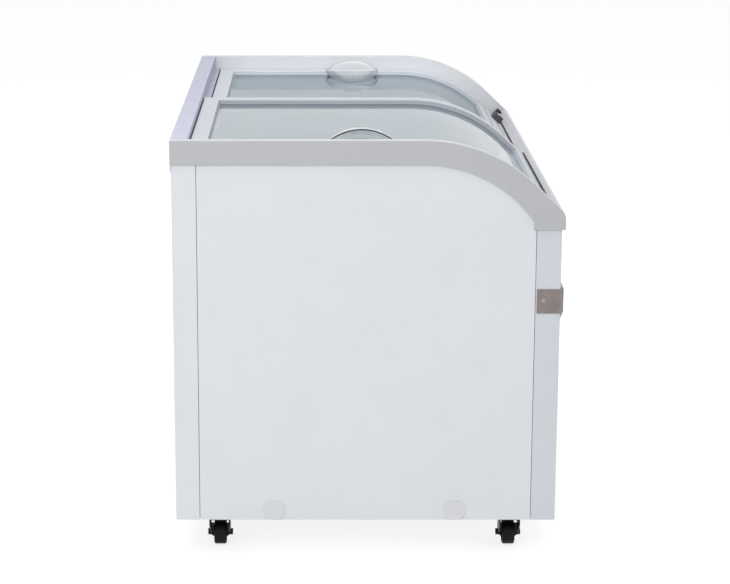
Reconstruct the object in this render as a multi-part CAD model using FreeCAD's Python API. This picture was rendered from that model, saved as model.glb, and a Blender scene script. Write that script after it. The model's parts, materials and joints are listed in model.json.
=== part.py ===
import FreeCAD, Part
import math
import os


# Chest display freezer with two curved glass lids that slide sideways, on four swivel casters.
# Millimetres. X is the customer's right, the front faces -Y and Z is up.
# The origin is on the floor, under the middle of the freezer.

# Overall size
width = 1200.0
depth = 768.0
height = 850.0
caster_height = 78.0

# Rim: the lid curve runs level from the rear, bends over an arc and slopes down to a round nose
arc_setback = 62.6
rim_radius = 310.0
slope = math.radians(43.5)
nose_radius = 26.0
rim_toe = 20.3
rim_band = 48.0
rim_leg = 62.0
rim_corner = 14.0
rim_wall = 3.0
rim_ledge = 20.0
rim_rear_wall = 2.1
rim_inner_band = 52.0
lip_end_gap = 2.0
rim_inner_toe_rise = 16.5

# Running and seating clearances
seat_gap = 0.3
slide_gap = 0.3
shaft_gap = 0.05
overrun = 5.0

# Cabinet skins
skin = 1.0
body_side_inset = 3.3
body_rear_inset = 2.4
body_front_inset = 6.4
front_return = 50.0
rear_return = 48.6
seam = 1.0
seam_flange = 10.0
skin_bend = 4.0
side_skin_drop = 20.0
rear_skin_drop = 10.0
front_skin_rise = 15.7

# Insulated walls, measured in from the outside of the skins
side_wall = 60.0
front_wall = 84.0
rear_wall = 70.0
floor_wall = 62.0
seat_drop = 54.0
front_foam_rise = 15.4

# Inner liner
liner_wall = 1.2
liner_corner = 40.0
liner_floor_bend = 12.0
lip_wall = 2.5
lip_overlap = 6.0

# Machine compartment at the customer's right end
machine_length = 315.0
machine_height = 250.0
bulkhead_wall = 1.2

# Base tray
tray_wall = 1.5
tray_edge = 24.0
vent_slot_count = 7
vent_slot_length = 90.0
vent_slot_width = 6.0
vent_slot_pitch = 16.0
vent_slot_centre_inset = 110.0

# Round caps low on the side panels
plug_diameter = 44.0
plug_thickness = 2.6
plug_dish = 1.0
plug_spigot_diameter = 36.0
plug_spigot_wall = 2.0
plug_spigot_length = 8.0
plug_rise = 22.0
plug_rear_inset = 199.0
plug_front_inset = 208.0

# Sliding lids
lid_height = 16.0
lid_edge_width = 34.0
lid_front_width = 23.0
lid_edge_round = 2.5
lid_overlap = 34.0
lid_end_gap = 1.5
lid_joint_gap = 0.2
lid_stop_gap = 3.0
upper_lid_drop = 13.0
lower_lid_drop = 31.0
upper_lid_rear_inset = 36.0
lower_lid_rear_inset = 47.0
upper_lid_run = 64.0
lower_lid_run = 24.0
glass = 4.0
glass_drop = 10.6
glass_groove = 10.0
glass_gap = 0.2
glider = 1.2
glider_width = 7.0
glider_length = 60.0
glider_edge = 1.5

# Cup handles on the lids
handle_y = 12.0
handle_half_width = 64.5
handle_rise = 37.0
handle_end_rise = 14.0
handle_low_rise = 7.0
handle_reach = 100.0
handle_oval_setback = 120.0
handle_cheek_in = 11.0
handle_wall = 2.5
handle_bulge_shares = (0.6, 0.3)

# Lid tracks in the front and rear trims
track_end_gap = 2.4
track_step = 1.5
trim_wall = 2.5
rear_skirt = 66.0
shelf_wall = 2.5
front_lip_run = 3.55

# Stops and lock in the upper track
stop_length = 17.0
stop_height = 20.0
stop_run = 12.0
lock_inset = 86.0
lock_length = 26.0
lock_width = 24.0
lock_height = 15.0
lock_bore_radius = 7.0
lock_cylinder_rise = 2.0
lock_bore_depth = 12.0
key_slot_length = 7.0
key_slot_width = 1.6
key_slot_depth = 5.0

# Bumper rail and corner brackets on the front
rail_centre_drop = 319.5
rail_height = 77.0
rail_slant = 11.0
rail_proud = 4.5
rail_wall = 1.6
bracket_height = 49.0
bracket_wall = 1.2
bracket_side_length = 53.0
bracket_front_length = 58.0
bracket_bevel = 8.0
bracket_side_proud = 1.5
bracket_hole_radius = 2.6
screw_inset = 40.0
screw_radius = 2.3
screw_head_radius = 4.6
screw_head_height = 1.8
screw_length = 14.0

# Grilles and the control panel at the machine compartment
front_grille_width = 196.0
front_grille_height = 168.0
front_grille_inset = 126.7
grille_centre_z = 208.0
grille_flange = 9.0
grille_flange_wall = 1.2
grille_depth = 9.0
grille_frame = 10.0
front_slat_count = 12
slat_wall = 2.0
slat_tilt = math.radians(35.0)
rear_grille_width = 240.0
rear_grille_height = 196.0
rear_grille_inset = 156.7
rear_slat_count = 14
panel_width = 72.0
panel_height = 150.0
panel_inset = 278.7
panel_flange = 6.0
panel_wall = 2.0
panel_recess = 16.0
knob_z_rise = 25.0
knob_radius = 17.0
knob_length = 11.0
knob_grip_radius = 12.5
knob_skirt = 3.0
knob_pointer_width = 3.0
knob_shaft_radius = 3.0
knob_shaft_length = 6.0
lamp_radius = 4.0
lamp_pitch = 18.0
lamp_drop = 32.0
lamp_height = 3.0
lamp_stem = 5.0
lamp_count = 3

# Compressor
compressor_inset = 134.7
compressor_rear_inset = 234.0
compressor_radius = 72.0
compressor_height = 150.0
compressor_dome = 34.0
compressor_seam = 3.0
compressor_seam_height = 7.0
compressor_plate = 3.0
compressor_plate_length = 200.0
compressor_plate_width = 130.0
compressor_plate_corner = 16.0
foot_radius = 12.0
foot_neck_radius = 9.0
foot_height = 18.0
foot_bore_radius = 4.0
foot_x_inset = 18.0
foot_y_inset = 18.0
stub_radius = 4.0
stub_length = 20.0
terminal_width = 58.0
terminal_height = 62.0
terminal_depth = 30.0
terminal_round = 6.0

# Condenser, fan and refrigerant circuit
condenser_setback = 84.0
condenser_width = 200.0
condenser_passes = 7
condenser_pitch = 26.0
condenser_tube = 3.0
condenser_bottom_rise = 34.0
wire_radius = 1.0
wire_count = 12
wire_gap = 0.2
shroud_gap = 16.0
shroud_wall = 1.5
shroud_edge = 14.0
fan_radius = 78.0
fan_ring = 16.0
fan_tip_gap = 4.0
fan_hub_radius = 21.0
fan_hub_length = 18.0
fan_blade_count = 5
fan_blade_wall = 1.8
fan_root_chord = 26.0
fan_tip_chord = 46.0
fan_root_pitch = math.radians(38.0)
fan_tip_pitch = math.radians(24.0)
motor_radius = 30.0
motor_length = 40.0
motor_gap = 4.0
motor_shaft_radius = 3.0
motor_arm_count = 3
motor_arm_width = 10.0
motor_arm_wall = 2.0
drier_radius = 11.0
drier_length = 86.0
drier_neck_radius = 5.0
drier_neck_length = 12.0
pipe_radius = 3.0
pipe_bend = 12.0
capillary_radius = 1.5
coil_radius = 4.0
coil_loops = 4
coil_pitch = 56.0
coil_top_drop = 190.0
coil_pocket = 9.0

# Cord gland in the rear panel
gland_inset = 296.7
gland_rise = 40.0
gland_bore = 4.5
gland_body = 8.0
gland_flange = 13.0
gland_flange_wall = 1.8
gland_nut_wall = 5.0
gland_tail = 10.0

# Casters
caster_inset = 60.0
caster_rear_inset = 88.0
caster_front_inset = 93.0
caster_trail = 18.0
wheel_radius = 25.0
wheel_width = 25.0
wheel_round = 4.0
wheel_web = 9.0
wheel_rim = 6.0
hub_radius = 8.0
hub_width = 25.2
axle_radius = 4.0
axle_head_radius = 6.5
axle_head_length = 4.0
plate_size = 60.0
plate_wall = 2.5
plate_corner = 6.0
plate_bolt_radius = 4.5
plate_bolt_height = 3.0
plate_bolt_inset = 9.0
race_radius = 19.0
race_height = 5.0
race_gap = 0.4
fork_crown_radius = 20.0
fork_crown_height = 4.0
fork_wall = 2.5
fork_half_width = 21.0
fork_top_gap = 14.0
fork_length = 44.0
fork_taper_top_rise = 8.0
fork_taper_low_drop = 9.0
fork_taper_in = 5.4
fork_end_radius = 9.5
fork_boss_radius = 7.0
kingpin_radius = 5.0
kingpin_head_radius = 8.0
kingpin_head = 2.5

# Worked out from the sizes above
half_width = width / 2
front = -depth / 2
rear = depth / 2
crown_y = front + arc_setback + rim_radius * math.sin(slope)
crown_z = height - rim_radius
nose_turn = math.pi / 2 - slope
ledge_x = half_width - rim_ledge
body_half = half_width - body_side_inset
body_front = front + body_front_inset
body_rear = rear - body_rear_inset
body_bottom = caster_height
front_seam_y = body_front + front_return
rear_seam_y = body_rear - rear_return
inner_half = body_half - side_wall
inner_front = body_front + front_wall
inner_rear = body_rear - rear_wall
inner_floor = body_bottom + floor_wall
tray_top = body_bottom + tray_wall
machine_x = body_half - machine_length
machine_top = tray_top + machine_height
hump_x = machine_x - side_wall
hump_top = machine_top + floor_wall
upper_floor_drop = upper_lid_drop + lid_height + track_step
lower_floor_drop = lower_lid_drop + lid_height + track_step
upper_lid_rear_y = rear - upper_lid_rear_inset
lower_lid_rear_y = rear - lower_lid_rear_inset
lid_outer_x = ledge_x - lid_end_gap
lid_inner_x = -lid_overlap / 2
handle_open_x = lid_outer_x - lid_edge_width - seat_gap
handle_inner_x = handle_open_x - handle_reach
lid_travel = handle_inner_x - lid_overlap / 2 - lid_stop_gap
nose_run = arc_setback / math.cos(slope)
nose_tangent = nose_radius * math.tan(nose_turn / 2)
nose_z = crown_z + rim_radius * math.cos(slope) - nose_run * math.sin(slope) - nose_tangent
rim_bottom = nose_z - rim_toe
rail_z = height - rail_centre_drop
screw_y = front + screw_inset
lock_x = ledge_x - lock_inset
front_grille_x = body_half - front_grille_inset
rear_grille_x = body_half - rear_grille_inset
panel_x = body_half - panel_inset
compressor_x = body_half - compressor_inset
compressor_y = rear - compressor_rear_inset
plug_rear_y = rear - plug_rear_inset
plug_front_y = front + plug_front_inset
gland_x = body_half - gland_inset
condenser_y = front + condenser_setback
caster_x = half_width - caster_inset
caster_rear_y = rear - caster_rear_inset
caster_front_y = front + caster_front_inset


def vec(x, y, z):
    return FreeCAD.Vector(x, y, z)


os.makedirs("parts", exist_ok=True)
ORIGIN = vec(0, 0, 0)
ALONG_X = vec(1, 0, 0)
ALONG_Y = vec(0, 1, 0)
ALONG_Z = vec(0, 0, 1)


def save(name, shapes):
    """Write one node; several solids go in as a compound."""
    shape = shapes if isinstance(shapes, Part.Shape) else Part.makeCompound(shapes)
    shape.exportStep(f"parts/{name}.step")


def join(shapes):
    """Fuse solids of one piece and merge their split faces."""
    return shapes[0].fuse(shapes[1:]).removeSplitter()


def mirror_x(shape):
    """The same shape on the other side of the middle plane."""
    return shape.mirror(ORIGIN, ALONG_X)


def block(xs, ys, zs):
    """Box between pairs of coordinates, given in either order."""
    low = vec(min(xs), min(ys), min(zs))
    return Part.makeBox(abs(xs[1] - xs[0]), abs(ys[1] - ys[0]), abs(zs[1] - zs[0]), low)


def rod(radius, start, end):
    """Cylinder between two points."""
    return Part.makeCylinder(radius, (end - start).Length, start, end - start)


def ring(outer, inner, start, end):
    """Tube between two points."""
    return rod(outer, start, end).cut(rod(inner, start, end))


def side_point(point):
    """A (y, z) pair in the plane across the width."""
    return vec(0, point[0], point[1])


def plan_point(point):
    """An (x, y) pair in the floor plane."""
    return vec(point[0], point[1], 0)


def front_point(point):
    """An (x, z) pair in the plane seen from the front."""
    return vec(point[0], 0, point[1])


def face_of(steps, place):
    """Face inside a closed outline. A step is a point, or a (middle, end) pair of points for an arc."""
    edges = []
    last = steps[0]
    for step in steps[1:] + steps[:1]:
        if isinstance(step[0], tuple):
            middle, end = step
            edges.append(Part.Arc(place(last), place(middle), place(end)).toShape())
        else:
            end = step
            if math.dist(last, end) > 0:
                edges.append(Part.makeLine(place(last), place(end)))
        last = end
    return Part.Face(Part.Wire(edges))


def side_prism(steps, xs):
    """Solid with a (y, z) outline between two x places."""
    face = face_of(steps, side_point)
    face.translate(ALONG_X * min(xs))
    return face.extrude(ALONG_X * abs(xs[1] - xs[0]))


def plan_prism(steps, zs):
    """Solid with an (x, y) outline between two heights."""
    face = face_of(steps, plan_point)
    face.translate(ALONG_Z * min(zs))
    return face.extrude(ALONG_Z * abs(zs[1] - zs[0]))


def front_prism(steps, ys):
    """Solid with an (x, z) outline between two y places."""
    face = face_of(steps, front_point)
    face.translate(ALONG_Y * min(ys))
    return face.extrude(ALONG_Y * abs(ys[1] - ys[0]))


def ribbon(points, thickness):
    """Closed outline of a sheet bent along points, its thickness on the left of the run."""
    runs = []
    for start, end in zip(points, points[1:]):
        length = math.dist(start, end)
        runs.append(((end[0] - start[0]) / length, (end[1] - start[1]) / length))
    far_side = []
    for i, (a, b) in enumerate(points):
        into = runs[max(i - 1, 0)]
        out = runs[min(i, len(runs) - 1)]
        reach = thickness / (1 + into[0] * out[0] + into[1] * out[1])
        far_side.append((a - (into[1] + out[1]) * reach, b + (into[0] + out[0]) * reach))
    return list(points) + far_side[::-1]


def round_edges(shape, radius, wanted):
    """Fillet the edges for which wanted(edge) is true."""
    return shape.makeFillet(radius, [edge for edge in shape.Edges if wanted(edge)])


def upright(edge):
    """Is this edge a straight vertical one?"""
    ends = edge.Vertexes
    return len(ends) == 2 and (ends[1].Point - ends[0].Point).cross(ALONG_Z).Length < shaft_gap


def tube(points, radius, bend):
    """Round bar along straight runs joined by tangent arcs."""
    edges = []
    last = points[0]
    for before, corner, after in zip(points, points[1:], points[2:]):
        into = (corner - before).normalize()
        out = (after - corner).normalize()
        turn = into.getAngle(out)
        cut = bend * math.tan(turn / 2)
        start = corner - into * cut
        end = corner + out * cut
        side = (out - into).normalize()
        middle = corner + side * (bend / math.cos(turn / 2) - bend)
        if (start - last).Length > shaft_gap:
            edges.append(Part.makeLine(last, start))
        edges.append(Part.Arc(start, middle, end).toShape())
        last = end
    edges.append(Part.makeLine(last, points[-1]))
    circle = Part.Wire([Part.makeCircle(radius, points[0], points[1] - points[0])])
    return Part.Wire(edges).makePipeShell([circle], True, False)


# The lid curve


def slope_point(run, drop):
    """Point on the front slope, a run past the end of the arc and a drop inside the rim's face."""
    radius = rim_radius - drop
    y = crown_y - radius * math.sin(slope) - run * math.cos(slope)
    z = crown_z + radius * math.cos(slope) - run * math.sin(slope)
    return y, z


def arc_point(drop, angle):
    """Point on the arc at a sweep angle forward of the crown."""
    radius = rim_radius - drop
    return crown_y - radius * math.sin(angle), crown_z + radius * math.cos(angle)


def curve_forward(drop, rear_y, run):
    """The lid curve from the rear to a run down the slope."""
    return [
        (rear_y, height - drop),
        (crown_y, height - drop),
        (arc_point(drop, slope / 2), slope_point(0, drop)),
        slope_point(run, drop),
    ]


def curve_back(drop, rear_y, run):
    """The lid curve from a run down the slope to the rear."""
    return [
        slope_point(run, drop),
        slope_point(0, drop),
        (arc_point(drop, slope / 2), (crown_y, height - drop)),
        (rear_y, height - drop),
    ]


def curved_bar(xs, top_drop, bottom_drop, rear_y, run):
    """Bar of even depth that follows the lid curve."""
    steps = curve_forward(top_drop, rear_y, run) + curve_back(bottom_drop, rear_y, run)
    return side_prism(steps, xs)


def slope_box(xs, runs, drops):
    """Box that lies square to the front slope."""
    steps = [
        slope_point(runs[0], drops[0]),
        slope_point(runs[1], drops[0]),
        slope_point(runs[1], drops[1]),
        slope_point(runs[0], drops[1]),
    ]
    return side_prism(steps, xs)


def nose_forward(drop, rear_y, bottom_z):
    """The rim's outer line from the rear, over the arc and round the nose, to bottom_z."""
    face_y = front + drop
    radius = nose_radius - drop
    middle = (
        face_y + radius - radius * math.cos(nose_turn / 2),
        nose_z + radius * math.sin(nose_turn / 2),
    )
    steps = curve_forward(drop, rear_y, nose_run - nose_tangent)
    return steps + [(middle, (face_y, nose_z)), (face_y, bottom_z)]


def band_steps(band, leg, rear_y, bottom_z):
    """The rim's side face: outer line forward, then its lower edge back over a tighter arc."""
    edge_y = front + leg
    radius = rim_radius - band
    centre_y = edge_y + rim_corner
    centre_z = crown_z + math.sqrt((radius - rim_corner) ** 2 - (centre_y - crown_y) ** 2)
    sweep = math.atan2(crown_y - centre_y, centre_z - crown_z)
    halfway = (sweep + math.pi / 2) / 2
    middle = (
        centre_y - rim_corner * math.sin(halfway),
        centre_z + rim_corner * math.cos(halfway),
    )
    return nose_forward(0, rear_y, bottom_z) + [
        (edge_y, bottom_z),
        (edge_y, centre_z),
        (middle, arc_point(band, sweep)),
        (arc_point(band, sweep / 2), (crown_y, height - band)),
        (rear_y, height - band),
    ]


# The lips over the liner stop short of its round corners
lip_ys = (inner_front + liner_corner + lip_end_gap, inner_rear - liner_corner - lip_end_gap)
lip_half_x = inner_half - liner_corner - lip_end_gap


# End trims: the grey mouldings that cap the two ends of the cabinet


def end_trim(shelf_drop):
    """Right end trim, with a shelf under the end of the lid at shelf_drop."""
    skirt_steps = band_steps(rim_band, rim_leg, rear, rim_bottom)
    skirt = side_prism(skirt_steps, (half_width - rim_wall, half_width))
    ledge_steps = nose_forward(0, rear, rim_bottom) + curve_back_nose(rim_wall, rear, rim_bottom)
    ledge = side_prism(ledge_steps, (ledge_x, half_width))
    wall_rear = body_rear - skin - seat_gap
    wall_bottom = rim_bottom + rim_inner_toe_rise
    wall_run = (slope_point(0, rim_inner_band)[1] - wall_bottom) / math.sin(slope)
    wall_steps = nose_forward(0, wall_rear, wall_bottom)
    wall_steps += curve_back(rim_inner_band, wall_rear, wall_run)
    wall = side_prism(wall_steps, (ledge_x, ledge_x + rim_wall))
    rear_cap_ys = (rear - rim_rear_wall, rear)
    rear_cap = block((ledge_x, half_width), rear_cap_ys, (height - rim_band, height))
    toe = block(
        (ledge_x, half_width),
        (front, body_front - seat_gap),
        (rim_bottom, rim_bottom + rim_wall),
    )
    lip_x = inner_half - seat_gap
    shelf_rear = inner_rear - lip_wall - 2 * seat_gap
    shelf_run = front_lip_run - lip_wall - seat_gap
    shelf = curved_bar(
        (lip_x - lip_wall, ledge_x + rim_wall),
        shelf_drop,
        shelf_drop + shelf_wall,
        shelf_rear,
        shelf_run,
    )
    lip = curved_bar(
        (lip_x - lip_wall, lip_x), shelf_drop, seat_drop + lip_overlap, lip_ys[1], shelf_run
    )
    lip = lip.common(block((0, width), lip_ys, (0, height)))
    return join([skirt, ledge, wall, rear_cap, toe, shelf, lip])


def curve_back_nose(drop, rear_y, bottom_z):
    """The rim's inner line, from bottom_z up round the nose and back to the rear."""
    steps = nose_forward(drop, rear_y, bottom_z)
    face_low, (middle, nose_low), slope_low = steps[-1], steps[-2], steps[-3]
    level = (crown_y, height - drop)
    return [
        face_low,
        nose_low,
        (middle, slope_low),
        slope_point(0, drop),
        (arc_point(drop, slope / 2), level),
        (rear_y, height - drop),
    ]


save("right_end_trim", end_trim(lower_floor_drop))
save("left_end_trim", mirror_x(end_trim(upper_floor_drop)))


# Front and rear trims: folded strips with a step for each lid track

trim_xs = (-(ledge_x - seat_gap), ledge_x - seat_gap)
upper_front_run = upper_lid_run + track_end_gap
lower_front_run = lower_lid_run + track_end_gap


def front_trim():
    """Skirt, round nose, slope, upper track, lower track and the lip over the liner."""
    face_run = nose_run
    lower_lip = slope_point(front_lip_run, lower_floor_drop)
    lip_bottom = slope_point(front_lip_run, seat_drop)[1] - lip_overlap
    points = [
        lower_lip,
        slope_point(lower_front_run, lower_floor_drop),
        slope_point(lower_front_run, upper_floor_drop),
        slope_point(upper_front_run, upper_floor_drop),
        slope_point(upper_front_run, 0),
        slope_point(face_run, 0),
        (front, rim_bottom),
        (body_front - seat_gap, rim_bottom),
    ]
    solid = side_prism(ribbon(points, trim_wall), trim_xs)
    outer_nose = slope_point(face_run, 0)
    reach = 2 * trim_wall

    def at_nose(edge):
        centre = edge.BoundBox.Center
        along = edge.BoundBox.XLength > lid_travel
        return along and math.dist((centre.y, centre.z), outer_nose) < reach

    edges = [edge for edge in solid.Edges if at_nose(edge)]
    outer = min(edges, key=lambda edge: edge.BoundBox.YMin)
    inner = max(edges, key=lambda edge: edge.BoundBox.YMin)
    rounded = solid.makeFillet(nose_radius, [outer])
    inner_place = inner.BoundBox.Center

    def is_inner(edge):
        return (edge.BoundBox.Center - inner_place).Length < shaft_gap

    folded = round_edges(rounded, nose_radius - trim_wall, is_inner)
    lip_top = lower_lip[1] - trim_wall * math.tan(slope)
    lip_steps = ribbon([(lower_lip[0], lip_bottom), (lower_lip[0], lip_top)], trim_wall)
    lip = side_prism(lip_steps, (-lip_half_x, lip_half_x))
    return join([folded, lip])


def rear_trim():
    """Skirt, top ledge, upper track, lower track and the lip over the liner."""
    upper_y = upper_lid_rear_y + track_end_gap
    lower_y = lower_lid_rear_y + track_end_gap
    lip_y = inner_rear - seat_gap - lip_wall
    points = [
        (rear, height - rear_skirt),
        (rear, height),
        (upper_y, height),
        (upper_y, height - upper_floor_drop),
        (lower_y, height - upper_floor_drop),
        (lower_y, height - lower_floor_drop),
        (lip_y, height - lower_floor_drop),
    ]
    folded = side_prism(ribbon(points, rim_rear_wall), trim_xs)
    lip = block(
        (-lip_half_x, lip_half_x),
        (lip_y, lip_y + rim_rear_wall),
        (height - lower_floor_drop, height - seat_drop - lip_overlap),
    )
    return join([folded, lip])


save("front_trim", front_trim())
save("rear_trim", rear_trim())


# Cabinet skins

skin_inner_x = body_half - skin


def screw_hole(radius, proud):
    """Cutter for a bracket screw, from outside the right skin inwards."""
    end = vec(body_half + proud, screw_y, rail_z)
    return rod(radius, end - ALONG_X * (screw_length + overrun), end)


def skin_opening(centre_x, half_x, half_z, ys):
    """Hole through the front or rear skin for a grille or the control panel."""
    return block(
        (centre_x - half_x, centre_x + half_x),
        ys,
        (grille_centre_z - half_z, grille_centre_z + half_z),
    )


def wrap_panel(face_y, seam_y, top_z, turn):
    """Panel across the cabinet with a return along each side that ends in a folded flange."""
    flange_x = body_half - seam_flange
    points = [
        (-flange_x, seam_y),
        (-body_half, seam_y),
        (-body_half, face_y),
        (body_half, face_y),
        (body_half, seam_y),
        (flange_x, seam_y),
    ]
    if turn < 0:
        points = points[::-1]
    solid = plan_prism(ribbon(points, skin), (body_bottom, top_z))

    def near_corner(edge, reach):
        centre = edge.BoundBox.Center
        off_corner = math.dist((abs(centre.x), centre.y), (body_half, face_y))
        return upright(edge) and off_corner < reach

    def inside(edge):
        return near_corner(edge, 2 * skin) and not near_corner(edge, shaft_gap)

    def outside(edge):
        return near_corner(edge, shaft_gap)

    return round_edges(round_edges(solid, skin_bend - skin, inside), skin_bend, outside)


def front_panel():
    """Front skin with openings for the air grille and the control panel."""
    solid = wrap_panel(body_front, front_seam_y - seam, rim_bottom + front_skin_rise, 1)
    ys = (body_front - overrun, body_front + overrun)
    half_grille = front_grille_width / 2 - grille_flange
    grille = skin_opening(front_grille_x, half_grille, front_grille_height / 2 - grille_flange, ys)
    half_panel = panel_width / 2 - panel_flange
    controls = skin_opening(panel_x, half_panel, panel_height / 2 - panel_flange, ys)
    hole = screw_hole(bracket_hole_radius, overrun)
    return solid.cut([grille, controls, hole, mirror_x(hole)])


def rear_panel():
    """Rear skin with the air opening and the hole for the cord gland."""
    solid = wrap_panel(body_rear, rear_seam_y + seam, height - rear_skin_drop, -1)
    ys = (body_rear - overrun, body_rear + overrun)
    half_grille = rear_grille_width / 2 - grille_flange
    grille = skin_opening(rear_grille_x, half_grille, rear_grille_height / 2 - grille_flange, ys)
    gland_z = body_bottom + gland_rise
    hole = rod(gland_body + seat_gap, vec(gland_x, ys[0], gland_z), vec(gland_x, ys[1], gland_z))
    return solid.cut([grille, hole])


def plug_places():
    """(y, z) of the two caps on a side panel."""
    return [(plug_front_y, body_bottom + plug_rise), (plug_rear_y, body_bottom + plug_rise)]


def side_panel():
    """Right side skin with folded edges, its top cut to the lid curve and two cap holes."""
    flange_x = body_half - seam_flange
    points = [
        (flange_x, front_seam_y),
        (body_half, front_seam_y),
        (body_half, rear_seam_y),
        (flange_x, rear_seam_y),
    ]
    sheet = plan_prism(ribbon(points, skin), (body_bottom, height))
    profile = [(rear_seam_y + overrun, body_bottom)]
    profile += curve_forward(side_skin_drop, rear_seam_y + overrun, rim_leg)
    profile += [(front, body_bottom)]
    sheet = sheet.common(side_prism(profile, (flange_x - overrun, half_width)))
    holes = []
    for y, z in plug_places():
        start = vec(body_half - overrun, y, z)
        holes.append(rod(plug_spigot_diameter / 2 + seat_gap, start, vec(half_width, y, z)))
    return sheet.cut(holes)


save("front_panel", front_panel())
save("rear_panel", rear_panel())
save("right_side_panel", side_panel())
save("left_side_panel", mirror_x(side_panel()))


def side_plug(y, z):
    """Push-in cap with a dished face and a hollow spigot."""
    face_x = body_half + plug_thickness
    radius = plug_diameter / 2
    spigot = plug_spigot_diameter / 2
    steps = [
        (0, face_x - plug_dish),
        (spigot - plug_spigot_wall, face_x - plug_dish),
        (radius - 2 * plug_dish, face_x),
        (radius - plug_dish, face_x),
        (radius, face_x - plug_dish),
        (radius, body_half),
        (spigot, body_half),
        (spigot, body_half - plug_spigot_length),
        (spigot - plug_spigot_wall, body_half - plug_spigot_length),
        (spigot - plug_spigot_wall, body_half),
        (0, body_half),
    ]

    def place(point):
        return vec(point[1], y + point[0], z)

    return face_of(steps, place).revolve(vec(0, y, z), ALONG_X)


right_plugs = [side_plug(y, z) for y, z in plug_places()]
save("side_plugs", right_plugs + [mirror_x(plug) for plug in right_plugs])


# Base tray with folded edges and air slots under the machine compartment

tray_half = skin_inner_x - seat_gap
tray_front = body_front + skin + seat_gap
tray_rear = body_rear - skin - seat_gap


def base_tray():
    tray_zs = (body_bottom, body_bottom + tray_edge)
    tray = block((-tray_half, tray_half), (tray_front, tray_rear), tray_zs)
    tray = round_edges(tray, skin_bend, upright)
    hollow = block(
        (-tray_half + tray_wall, tray_half - tray_wall),
        (tray_front + tray_wall, tray_rear - tray_wall),
        (tray_top, body_bottom + 2 * tray_edge),
    )
    cuts = [round_edges(hollow, skin_bend - tray_wall, upright)]
    centre_x = tray_half - vent_slot_centre_inset
    for i in range(vent_slot_count):
        y = (i - (vent_slot_count - 1) / 2) * vent_slot_pitch
        slot = block(
            (centre_x - vent_slot_length / 2, centre_x + vent_slot_length / 2),
            (y - vent_slot_width / 2, y + vent_slot_width / 2),
            (body_bottom - overrun, tray_top + overrun),
        )
        cuts.append(slot)
    for y, z in plug_places():
        start = vec(-half_width, y, z)
        cuts.append(rod(plug_spigot_diameter / 2 + seat_gap, start, vec(half_width, y, z)))
    notch_zs = (body_bottom + tray_wall, body_bottom + 2 * tray_edge)
    for seam_y in (front_seam_y, rear_seam_y):
        notch_ys = (seam_y - 2 * seam, seam_y + 2 * seam)
        for side in (-1, 1):
            notch_xs = (side * (tray_half - seam_flange), side * half_width)
            cuts.append(block(notch_xs, notch_ys, (body_bottom - overrun, notch_zs[1])))
    return tray.cut(cuts)


save("base_tray", base_tray())


# Inner liner, a tub with a step over the machine compartment


def tub(grow, top_z):
    """Solid of the storage space, grown by a wall thickness on every side but the top."""
    half_x = inner_half + grow
    main = block(
        (-half_x, half_x), (inner_front - grow, inner_rear + grow), (inner_floor - grow, top_z)
    )
    main = round_edges(main, liner_corner + grow, upright)
    step = block(
        (hump_x + grow, half_x + overrun),
        (inner_front - grow - overrun, inner_rear + grow + overrun),
        (inner_floor - grow - overrun, hump_top - grow),
    )
    body = main.cut(step)
    low_z = inner_floor - grow

    def at_floor(edge):
        return edge.BoundBox.ZMax < low_z + shaft_gap

    return round_edges(body, liner_floor_bend + grow, at_floor)


def under_curve(drop, front_z):
    """Everything below the lid curve at a drop, with a level top towards the front."""
    front_run = (slope_point(0, drop)[1] - front_z) / math.sin(slope)
    steps = [(rear + overrun, 0)]
    steps += curve_forward(drop, rear + overrun, front_run)
    steps += [(front - overrun, front_z), (front - overrun, 0)]
    return side_prism(steps, (-width, width))


foam_top = under_curve(seat_drop, rim_bottom + front_foam_rise)
liner = tub(liner_wall, height).cut(tub(0, height + overrun)).common(foam_top)
save("inner_liner", liner)


# Foam between the liner and the skins, with the evaporator pocket and the machine compartment cut out


def foam_body():
    foam = block(
        (-skin_inner_x + seat_gap, skin_inner_x - seat_gap),
        (body_front + skin + seat_gap, body_rear - skin - seat_gap),
        (tray_top + seat_gap, height),
    )
    foam = round_edges(foam, skin_bend, upright)
    cavity = tub(liner_wall + seat_gap, height + overrun)
    machine = block(
        (machine_x - bulkhead_wall - seat_gap, width),
        (-depth, depth),
        (0, machine_top + bulkhead_wall + seat_gap),
    )
    coil_top = height - coil_top_drop + 2 * coil_radius
    coil_low = coil_top - coil_loops * coil_pitch
    grow = liner_wall + coil_pocket
    pocket = block(
        (-inner_half - grow, inner_half + grow),
        (inner_front - grow, inner_rear + grow),
        (coil_low, coil_top),
    )
    cuts = [cavity, machine, round_edges(pocket, liner_corner + grow, upright)]
    in_tray = block(
        (-tray_half + tray_wall + seat_gap, tray_half - tray_wall - seat_gap),
        (tray_front + tray_wall + seat_gap, tray_rear - tray_wall - seat_gap),
        (0, height),
    )
    in_tray = round_edges(in_tray, skin_bend, upright)
    tray_rim = block((-width, width), (-depth, depth), (0, body_bottom + tray_edge + seat_gap))
    cuts.append(tray_rim.cut(in_tray))
    for side in (-1, 1):
        flange_xs = (side * (body_half - seam_flange - seat_gap), side * width)
        for seam_y in (front_seam_y - seam / 2, rear_seam_y + seam / 2):
            groove = 2 * seam + seat_gap
            cuts.append(block(flange_xs, (seam_y - groove, seam_y + groove), (0, height)))
        for y, z in plug_places():
            start = vec(side * (body_half - plug_spigot_length - seat_gap), y, z)
            end = vec(side * width, y, z)
            cuts.append(rod(plug_spigot_diameter / 2 + seat_gap, start, end))
    hole = screw_hole(bracket_hole_radius, overrun)
    cuts += [hole, mirror_x(hole)]
    return foam.common(foam_top).cut(cuts)


save("foam_insulation", foam_body())


# Steel bulkhead round the machine compartment

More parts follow.
